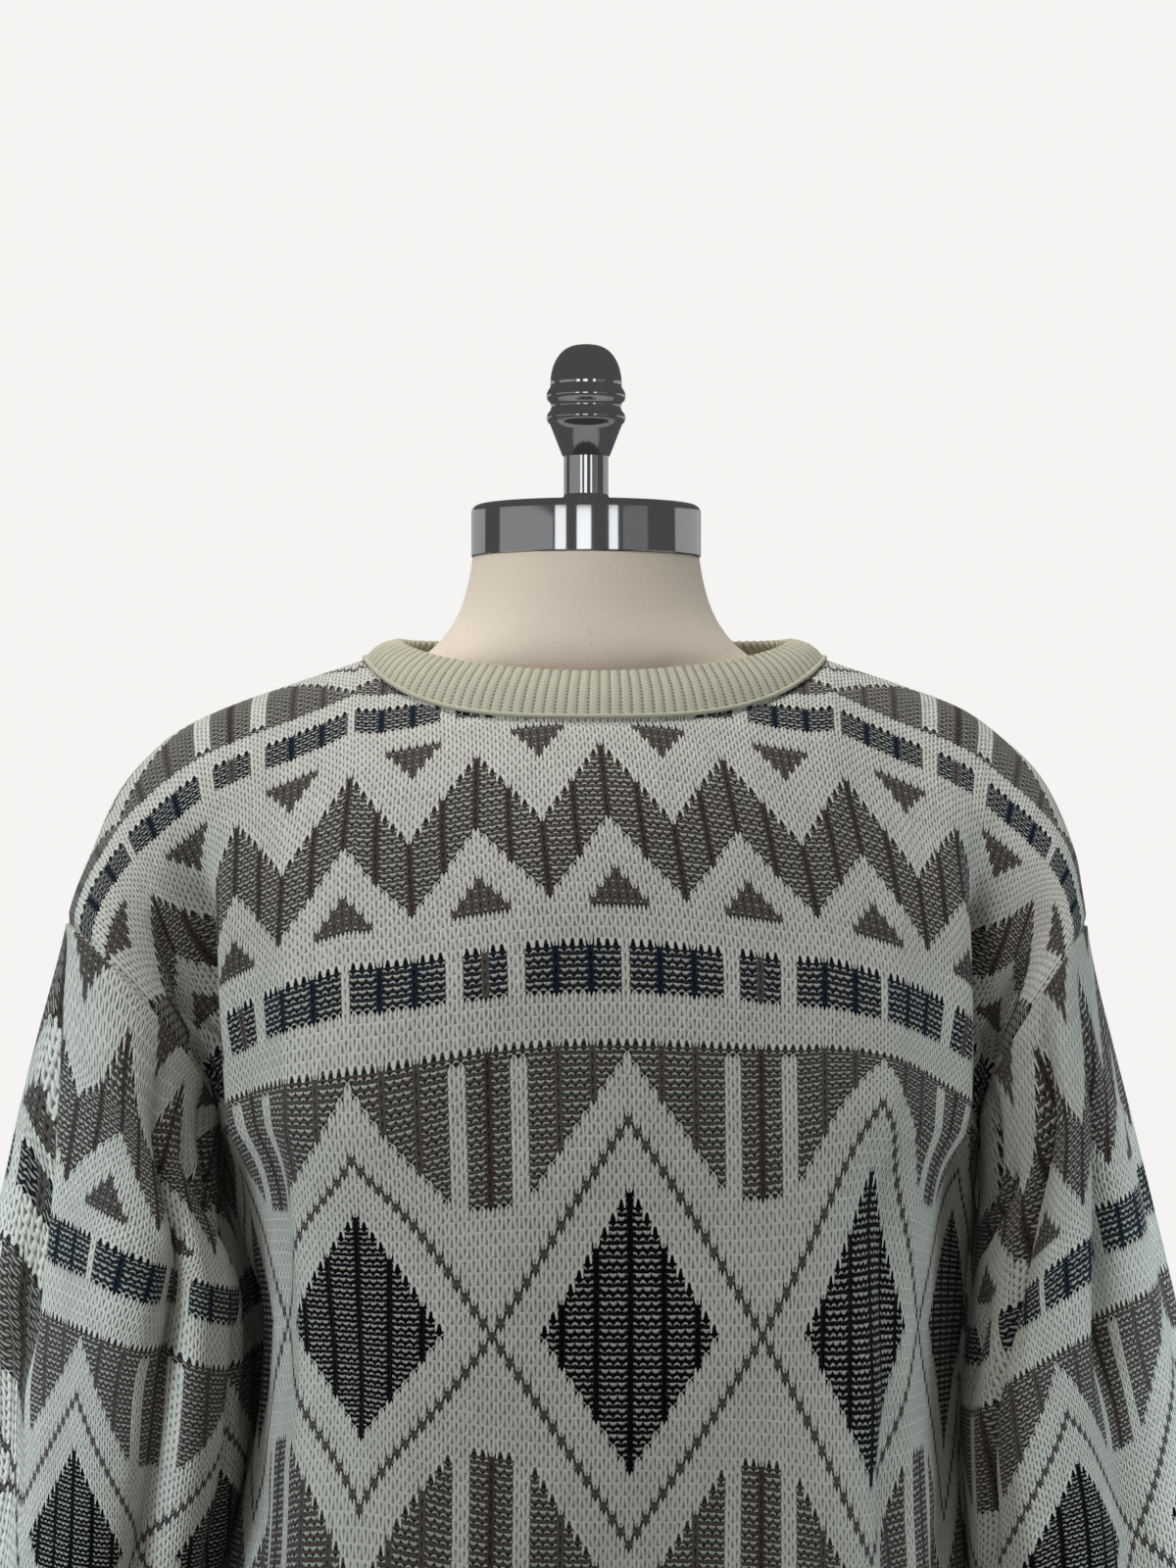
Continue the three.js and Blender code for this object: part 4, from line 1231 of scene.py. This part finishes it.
def sleeve_tilt(side, wale, along):
    """How far courses rise or fall round the sleeve."""
    front = np.clip(-wale, 0, 72)
    # Courses lie lowest on the front of the right sleeve; on the left they fall to the underarm.
    if side < 0:
        tilt = 4 - 0.0139 * (front - 28) ** 2 * (front > 28) - 26 * (1 - ease(13.5, 19.5, front))
    else:
        tilt = -7 * (1 - ease(8, 20, front)) + 8 * ease(36, 50, front)
    return tilt * ease(0, 40, along) * (1 - ease(300, 440, along))


def sleeve_piece(name, side, node):
    """The right (-1) or left (1) sleeve, joined along its underarm seam."""
    wales = np.arange(-SLEEVE_EDGE, SLEEVE_EDGE + 0.5)
    lines = np.arange(0, SLEEVE_FOOT + 1.0)
    fine = np.linspace(0, SLEEVE_FOOT, SLEEVE_STEPS)
    last = float(np.interp(CUFF_TOP - GAP, at(SLEEVE_COURSES, "course", fine)["along"], fine))
    courses = np.clip(lines[:, None], 0, last) + 0 * wales
    along = at(SLEEVE_COURSES, "course", courses)["along"]
    along = np.clip(along + sleeve_tilt(side, wales + 0 * along, along), 0, CUFF_TOP - GAP)
    half = at(SLEEVE_HALF, "along", along)["half"]
    turn = np.clip(sleeve_round(side, wales, courses) / half, -1, 1)
    turn[:, 0], turn[:, -1] = -1, 1
    points = sleeve_points(side, turn, along)
    normals = sleeve_normals(side, turn, along)
    depth = crease_depth(SLEEVE_CREASES[side], turn * half, along)
    waves = WAVE_DEPTH * uneven(turn * half, along, 21 + side, WAVE_LENGTH)
    depth += waves * ease(0, WAVE_START, along)
    depth *= 1 - ease(0.88, 1, np.abs(turn))
    swell = at(SLEEVE_SWELL[side], "along", along)["depth"] * ease(0.5, 0.88, np.abs(turn))
    depth += swell * (1 + 0.5 * ease(0.6, 0.8, turn) * (1 - ease(0.92, 1, turn)))
    depth -= SEAM_SINK * (1 - ease(0, SEAM_WIDTH, along))
    points = points + normals * depth[..., None]
    points[:, 0] = (points[:, 0] + points[:, -1]) / 2
    points[:, -1] = points[:, 0]
    on_seam = np.abs(turn) >= 1
    points[on_seam] = np.broadcast_to(points[:, :1], points.shape)[on_seam]
    return knitted(name, points, wales, courses, lines, SLEEVE_BANDS, side > 0, node)


def ribs(phase):
    """Relief of ribbing: rounded ridges, one to each whole number, from 0 to 1."""
    return (0.5 + 0.5 * np.cos(2 * math.pi * phase)) ** 0.7


def ribbed_end(name, points, outward, phase, down, facing, node, closed=False):
    """A hem or cuff: ribs raised on a plain grid, with a rounded lower edge."""
    thickness = bpy.context.scene.pullover_gauge.rib_thickness
    down = np.broadcast_to(down, points.shape[:2])
    edge = np.clip((down[-1] - down) * MM / thickness, 0, 1)
    rounding = 0.5 * thickness / MM * (1 - np.sqrt(1 - (1 - edge) ** 2))
    height = RIB_RELIEF * (ribs(phase) - 1) - rounding
    points = points + outward * height[..., None]
    if closed:
        points[:, -1] = points[:, 0]
    piece = mesh_from_grid(name, points, phase, down / RIB_COURSE, facing)
    thickened(piece, thickness)
    return finished(piece, ribbing("cream"), "rib_knit", node)


def hem_piece(name, face, node):
    """The ribbed hem of the front (-1) or the back (1)."""
    count = round(2 * HALF_CHEST / (bpy.context.scene.pullover_gauge.rib_wale / MM))
    phase = np.linspace(-count / 2, count / 2, count * RIB_STEPS + 1)[None, :]
    limit = HALF_CHEST - GAP
    across = np.clip(phase / count * 2 * HALF_CHEST, -limit, limit)
    down = np.array(HEM_ROWS)[:, None]
    points, outward = panel_surface(face, across, down, limit - np.abs(across), HEM_SINK)
    return ribbed_end(name, points, outward, phase, down, face < 0, node)


def cuff_piece(name, side, node):
    """The ribbed cuff of the right (-1) or left (1) sleeve."""
    phase = np.linspace(0, CUFF_RIBS, CUFF_RIBS * RIB_STEPS + 1)[None, :]
    turn = phase / CUFF_RIBS * 2 - 1
    down = np.array(CUFF_ROWS)[:, None]
    points = sleeve_points(side, turn + 0 * down, down + 0 * turn)
    outward = closed_normals(grid_normals(points) * side)
    return ribbed_end(name, points, outward, phase, down, side > 0, node, closed=True)


def neck_ring(count):
    """The neck seam, the top of the band and the way out, at even distances round the neck."""
    angle = np.linspace(0, 2 * math.pi, NECK_STEPS)
    side = np.where(angle <= math.pi, 1.0, -1.0)
    face = np.where(np.cos(angle) > 0, -1.0, 1.0)
    turn = np.arcsin(np.clip(np.abs(np.sin(angle)), 0, 1))
    across = side * NECK_HALF * np.sin(turn)
    low = np.empty((len(angle), 3))
    for which in (-1, 1):
        here = face == which
        a = across[here]
        low[here] = upper_points(which, a, top_of_panel(which, a))
    front = face < 0
    rise = np.where(front, BAND_INNER["front_z"] + BAND["rise"], BAND_INNER["back_z"])
    depth = np.where(front, BAND_INNER["front"], BAND_INNER["back"])
    high = np.stack([
        NECK["centre_x"] + side * BAND_INNER["half"] * np.sin(turn),
        NECK["seam_y"] + face * depth * np.cos(turn),
        mix(BAND_INNER["side_z"], rise, np.cos(turn) ** 1.3)], axis=1)
    middle = (low + high) / 2
    run = np.concatenate([[0], np.cumsum(np.linalg.norm(np.diff(middle, axis=0), axis=1))])
    even = np.linspace(0, run[-1], count + 1)
    rings = []
    for ring in (low, high):
        smooth = np.stack([np.interp(even, run, ring[:, k]) for k in range(3)], axis=1)[:-1]
        for _ in range(6):
            smooth = (np.roll(smooth, 1, 0) + 2 * smooth + np.roll(smooth, -1, 0)) / 4
        rings.append(smooth)
    low, high = rings
    along = np.roll(low, -2, 0) - np.roll(low, 2, 0)
    way = unit(np.cross(along, high - low))
    way = np.where(way[:, 2:] < 0, -way, way)
    return low, high, way


def neckband_piece(name):
    """A folded band of ribbing: up outside, over the fold and down inside."""
    count, thick = BAND["ribs"], BAND["thick"]
    low, high, way = neck_ring(count * RIB_STEPS)
    low, high, way = (np.concatenate([ring, ring[:1]]) for ring in (low, high, way))
    length = np.linalg.norm(high - low, axis=1)[None, :]
    climb = (high - low) / length[0][:, None]

    def dome(share):
        return BAND["dome"] * np.sin(math.pi * share)

    up = 0.004 + 0.996 * np.linspace(0, BAND["fold"], 13)
    over = np.linspace(0, math.pi, 11)[1:]
    down = np.linspace(0.84, 0.02, 9)
    rows = np.concatenate([up, BAND["fold"] + (1 - BAND["fold"]) * np.sin(over), down])
    heights = np.concatenate([
        dome(up), dome(up[-1]) - thick * (1 - np.cos(over)) / 2, dome(down) - thick])
    relief = BAND["relief"] * np.repeat([1.0, 0.4], [len(up) + len(over), len(down)])
    phase = np.linspace(0, count, count * RIB_STEPS + 1)[None, :]
    centre = (low + climb * (rows[:, None] * length)[..., None]
              + way * heights[:, None, None])
    outward = -grid_normals(np.concatenate([centre, centre[:1]]))[:-1]
    outward = closed_normals(outward)
    points = centre + outward * (relief[:, None] * (ribs(phase) - 1))[..., None]
    points[:, -1] = points[:, 0]
    points = np.concatenate([points, points[:1]])
    stretch = np.linalg.norm(np.diff(centre[:, ::RIB_STEPS], axis=0), axis=2).mean(axis=1)
    run = np.concatenate([[0], np.cumsum(stretch), [stretch.sum() + thick]])
    courses = np.broadcast_to((run / BAND["course"])[:, None], points.shape[:2])
    piece = mesh_from_grid(name, points, phase, courses, False)
    return finished(piece, ribbing("ivory"), "rib_knit", "neckband")


def neck_cord_piece(name):
    """The rolled edge where the band was picked up: a smooth cord round the neck seam."""
    low, high, way = neck_ring(360)
    climb = unit(high - low)
    angle = np.linspace(0, 2 * math.pi, 11)[:, None, None]
    centre = low + way * CORD["out"] + climb * CORD["up"]
    points = centre + CORD["radius"] * (np.cos(angle) * way + np.sin(angle) * climb)
    points = np.concatenate([points, points[:, :1]], axis=1)
    courses = np.broadcast_to(angle[..., 0] * 0.2, points.shape[:2])
    piece = mesh_from_grid(name, points, np.zeros((1, points.shape[1])), courses, False)
    return finished(piece, ribbing("ivory"), "rib_knit")


# --- form and stand


# Points nearer than this are one; how near the axis and the ends the form's caps are looked for.
WELD, NEAR_AXIS, NEAR_END = 0.00005, 0.001, 0.0001


def form_piece(name):
    """The linen cover: the form's shape, smoothed."""
    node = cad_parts["form_torso"]
    mesh = node.data.copy()
    mesh.transform(node.matrix_world)
    piece = fresh_object(name, mesh)
    chosen(piece)
    bpy.ops.object.mode_set(mode="EDIT")
    bpy.ops.mesh.select_all(action="SELECT")
    bpy.ops.mesh.remove_doubles(threshold=WELD)
    bpy.ops.mesh.normals_make_consistent(inside=False)
    bpy.ops.mesh.tris_convert_to_quads(
        face_threshold=math.radians(70), shape_threshold=math.radians(120))
    rings = bmesh.from_edit_mesh(mesh)
    heights = [v.co.z for v in rings.verts]
    ends = (min(heights), max(heights))
    centre = [v for v in rings.verts if math.hypot(v.co.x, v.co.y) < NEAR_AXIS]
    for edge in rings.edges:
        level = all(min(abs(v.co.z - end) for end in ends) < NEAR_END for v in edge.verts)
        edge.select_set(level and not any(v in centre for v in edge.verts))
    bmesh.update_edit_mesh(mesh)
    bpy.ops.transform.edge_crease(value=1.0)
    bpy.ops.object.mode_set(mode="OBJECT")
    smooth = piece.modifiers.new("Smooth", "SUBSURF")
    smooth.levels = smooth.render_levels = 3
    bpy.ops.object.modifier_apply(modifier=smooth.name)
    bpy.ops.object.shade_smooth_by_angle(angle=math.radians(50))
    return finished(piece, finish("linen_twill", linen_material), "linen", "form_torso")


POINT = 0.01            # radius of a profile's point on the axis, until it is merged
CHAMFER = 0.3


def turned(name, node, segments, foot, profile):
    """A piece turned about its upright axis. The profile is (radius, height) from the foot up."""
    bpy.ops.object.select_all(action="DESELECT")
    radius, height = profile[0]
    bpy.ops.mesh.primitive_circle_add(
        vertices=segments, radius=radius * MM, fill_type="NGON", location=(0, 0, 0))
    piece = bpy.context.object
    piece.name = piece.data.name = name
    bpy.ops.object.mode_set(mode="EDIT")
    bpy.ops.mesh.select_all(action="SELECT")
    bpy.ops.transform.translate(value=(0, 0, (foot + height) * MM))
    for next_radius, next_height in profile[1:]:
        bpy.ops.mesh.extrude_region_move(
            TRANSFORM_OT_translate={"value": (0, 0, (next_height - height) * MM)})
        next_radius = max(next_radius, POINT)
        share = next_radius / radius
        bpy.ops.transform.resize(
            value=(share, share, 1), center_override=(0, 0, (foot + next_height) * MM))
        radius, height = next_radius, next_height
    if profile[-1][0] == 0:
        bpy.ops.mesh.merge(type="CENTER")
    bpy.ops.mesh.select_all(action="SELECT")
    bpy.ops.mesh.normals_make_consistent(inside=False)
    bpy.ops.object.mode_set(mode="OBJECT")
    bpy.ops.object.shade_smooth_by_angle(angle=math.radians(40))
    return finished(piece, finish("chrome_plate", chrome_material), "polished_chrome", node)


def rounded_disc(radius, height, edge):
    """A disc with a rounded upper edge and a small chamfer below."""
    corner = [(radius - edge + edge * math.cos(a), height - edge + edge * math.sin(a))
              for a in np.linspace(0, math.pi / 2, 9)]
    return [(radius - CHAMFER, 0), (radius, CHAMFER)] + corner


def knob_profile():
    """A cup, two rolled beads and a dome."""
    cup = [(10.9, 0), (12.1, 3), (13.9, 7.6), (15.4, 11.4), (16.5, 14.4)]
    beads = [(17.6, 15.4), (18.1, 17.2), (17.7, 19), (16.4, 20.7), (15.9, 22.3), (16.5, 24.2),
             (17.7, 25.4), (18.2, 27), (17.9, 28.8), (16.9, 30.6), (16.3, 31.6)]
    dome = [(16.4 * math.cos(a) ** 0.72, mix(32.5, 50.9, math.sin(a)))
            for a in np.linspace(0, math.pi / 2, 15)[:-1]]
    return cup + beads + dome + [(0, 50.9)]


STEM = [(11.7, 0), (11.5, 1.2), (11.1, 2.4), (10.5, 3.4), (10.2, 4.6), (10.2, 5.0), (10.2, 22.2)]

# Name, node, steps round, height of the foot, and profile of each chrome piece.
CHROME = (
    ("chrome_cap", "neck_cap", 128, 803.8, rounded_disc(52.5, 23.5, 3.5)),
    ("chrome_stem", "finial_stem", 64, 827.6, STEM),
    ("chrome_knob", "finial_knob", 96, 850.1, knob_profile()),
    ("chrome_collar", "pole_collar", 96, 105.7, rounded_disc(34, 9, 3)),
    ("chrome_pole", "stand_pole", 64, 13.3, rounded_disc(15, 92.1, 1)),
    ("chrome_base", "stand_base", 160, 0, rounded_disc(140, 13, 5)),
)


# --- stage


FLOOR_RADIUS = 1.35
WHITE, BLUISH = (1, 1, 1), (0.77, 0.92, 1.0)

# Name, place, target, size, power, colour, and how wide the light spreads in degrees.
LAMPS = (
    ("key", (-0.45, -0.6, 1.3), (0, 0, 0.86), (0.5, 0.4), 0.58, WHITE, 65),
    ("top", (-0.1, -0.2, 2.1), (0, 0, 0.6), (1.8, 1.0), 15, WHITE, 180),
    ("back", (0.0, 1.3, 1.9), (0, 0, 0.5), (1.4, 1.0), 9, WHITE, 180),
    ("side_left", (-0.66, -0.32, 0.42), (-0.31, 0.12, 0.42), (0.3, 0.6), 1.0, BLUISH, 75),
    ("side_right", (0.68, -0.28, 0.4), (0.30, 0.15, 0.42), (0.3, 0.6), 0.92, BLUISH, 75),
)

# Windows that the chrome reflects: turn from the front in degrees, width, and power.
WINDOWS = (
    (-25, 0.36, 0.62), (-2, 0.46, 0.85), (27, 0.30, 0.50),
    (-64, 2.3, 0.75), (-148, 2.0, 0.75), (50, 0.9, 0.13), (132, 2.4, 0.95),
)
WINDOW = dict(distance=1.9, middle=0.97, tall=0.34, target=(0, 0, 0.83))


def new_light(name, place, target, size, power, colour, spread, mirrored=False):
    """A soft lamp; only mirrored ones are reflected in the chrome."""
    light = bpy.data.lights.new(name, "AREA")
    light.shape = "RECTANGLE"
    light.size, light.size_y = size
    light.energy = power * bpy.context.scene.pullover_studio.brightness
    light.color = colour
    light.spread = math.radians(spread)
    holder = bpy.data.objects.new(name, light)
    holder.location = place
    holder.visible_glossy = mirrored
    holder.visible_camera = False
    way = Vector(target) - Vector(place)
    holder.rotation_euler = way.to_track_quat("-Z", "Y").to_euler()
    bpy.context.scene.collection.objects.link(holder)


def studio_world():
    """A pale room to look at, which lights the cloth only a little."""
    world = bpy.data.worlds.new("Studio")
    bpy.context.scene.world = world
    world.use_nodes = True
    tree = world.node_tree
    tree.nodes.clear()
    path = tree.nodes.new("ShaderNodeLightPath")
    seen = tree.nodes.new("ShaderNodeBackground")
    set_values(seen, Color=(0.913, 0.905, 0.888, 1))
    felt = tree.nodes.new("ShaderNodeBackground")
    set_values(felt, Color=(0.95, 0.97, 1.0, 1), Strength=0.12)
    both = tree.nodes.new("ShaderNodeMixShader")
    end = tree.nodes.new("ShaderNodeOutputWorld")
    tree.links.new(path.outputs["Is Camera Ray"], both.inputs[0])
    tree.links.new(felt.outputs[0], both.inputs[1])
    tree.links.new(seen.outputs[0], both.inputs[2])
    tree.links.new(both.outputs[0], end.inputs["Surface"])


# --- operators


class PULLOVER_OT_panels(bpy.types.Operator):
    """Knit the front and the back"""

    bl_idname = "pullover.panels"
    bl_label = "Front and back"
    bl_options = {"REGISTER", "UNDO"}

    def execute(self, context):
        front = body_panel("front_cloth", -1, "front")
        back = body_panel("back_cloth", 1, "back")
        return {"FINISHED"}


class PULLOVER_OT_sleeves(bpy.types.Operator):
    """Knit the sleeves"""

    bl_idname = "pullover.sleeves"
    bl_label = "Sleeves"
    bl_options = {"REGISTER", "UNDO"}

    def execute(self, context):
        for node, side in (("sleeve_right", -1), ("sleeve_left", 1)):
            sleeve = sleeve_piece(node + "_cloth", side, node)
        return {"FINISHED"}


class PULLOVER_OT_neckband(bpy.types.Operator):
    """Knit the neckband and its rolled edge"""

    bl_idname = "pullover.neckband"
    bl_label = "Neckband"
    bl_options = {"REGISTER", "UNDO"}

    def execute(self, context):
        band = neckband_piece("neckband_rib")
        cord = neck_cord_piece("neck_cord")
        return {"FINISHED"}


class PULLOVER_OT_ribs(bpy.types.Operator):
    """Knit the hems and the cuffs"""

    bl_idname = "pullover.ribs"
    bl_label = "Hems and cuffs"
    bl_options = {"REGISTER", "UNDO"}

    def execute(self, context):
        for node, face in (("hem_front", -1), ("hem_back", 1)):
            hem_piece(node + "_rib", face, node)
        for node, side in (("cuff_right", -1), ("cuff_left", 1)):
            cuff_piece(node + "_rib", side, node)
        return {"FINISHED"}


class PULLOVER_OT_form(bpy.types.Operator):
    """Cover the dress form with linen"""

    bl_idname = "pullover.form"
    bl_label = "Linen form"
    bl_options = {"REGISTER", "UNDO"}

    def execute(self, context):
        form_piece("linen_torso")
        return {"FINISHED"}


class PULLOVER_OT_stand(bpy.types.Operator):
    """Turn the chrome cap, finial and stand"""

    bl_idname = "pullover.stand"
    bl_label = "Cap, finial and stand"
    bl_options = {"REGISTER", "UNDO"}

    def execute(self, context):
        for piece in CHROME:
            turned(*piece)
        return {"FINISHED"}


class PULLOVER_OT_stage(bpy.types.Operator):
    """Set up the floor, lights and camera"""

    bl_idname = "pullover.stage"
    bl_label = "Floor, lights and camera"
    bl_options = {"REGISTER", "UNDO"}

    def execute(self, context):
        studio = context.scene.pullover_studio
        bpy.ops.object.select_all(action="DESELECT")
        bpy.ops.mesh.primitive_circle_add(vertices=96, radius=FLOOR_RADIUS, fill_type="NGON")
        floor = context.object
        floor.name = "floor"
        material, _, surface = new_material("floor")
        set_values(surface, Base_Color=(0.80, 0.79, 0.77, 1), Roughness=0.8)
        floor.data.materials.append(material)
        studio_world()
        for lamp in LAMPS:
            new_light(*lamp)
        for turn, width, power in WINDOWS:
            angle, away = math.radians(turn), WINDOW["distance"]
            place = (away * math.sin(angle), -away * math.cos(angle), WINDOW["middle"])
            new_light("window", place, WINDOW["target"], (width, WINDOW["tall"]), power,
                      WHITE, 180, mirrored=True)
        context.scene.view_settings.view_transform = "Standard"
        camera = bpy.data.objects.new("camera", bpy.data.cameras.new("camera"))
        camera.data.lens = studio.lens
        camera.location = (studio.aside, -studio.distance, studio.height)
        camera.rotation_euler = (math.pi / 2, 0, 0)
        context.scene.collection.objects.link(camera)
        context.scene.camera = camera
        return {"FINISHED"}


class PULLOVER_PT_panel(bpy.types.Panel):
    """Steps and settings of the pullover"""

    bl_label = "Pullover"
    bl_idname = "PULLOVER_PT_panel"
    bl_space_type = "VIEW_3D"
    bl_region_type = "UI"
    bl_category = "Pullover"

    def draw(self, context):
        for operator in OPERATORS:
            self.layout.operator(operator.bl_idname)
        for settings, group in SETTINGS.items():
            box = self.layout.box()
            for name in group.__annotations__:
                box.prop(getattr(context.scene, settings), name)


OPERATORS = (PULLOVER_OT_panels, PULLOVER_OT_sleeves, PULLOVER_OT_neckband, PULLOVER_OT_ribs,
             PULLOVER_OT_form, PULLOVER_OT_stand, PULLOVER_OT_stage)
SETTINGS = {
    "pullover_yarns": PulloverYarns,
    "pullover_gauge": PulloverGauge,
    "pullover_studio": PulloverStudio,
}


def register():
    for group in (*SETTINGS.values(), *OPERATORS, PULLOVER_PT_panel):
        bpy.utils.register_class(group)
    for name, group in SETTINGS.items():
        setattr(bpy.types.Scene, name, bpy.props.PointerProperty(type=group))


def unregister():
    for name in SETTINGS:
        delattr(bpy.types.Scene, name)
    for group in reversed((*SETTINGS.values(), *OPERATORS, PULLOVER_PT_panel)):
        bpy.utils.unregister_class(group)


def main():
    register()
    bpy.ops.pullover.panels()
    bpy.ops.pullover.sleeves()
    bpy.ops.pullover.neckband()
    bpy.ops.pullover.ribs()
    bpy.ops.pullover.form()
    bpy.ops.pullover.stand()
    bpy.ops.pullover.stage()


if __name__ == "__main__":
    main()
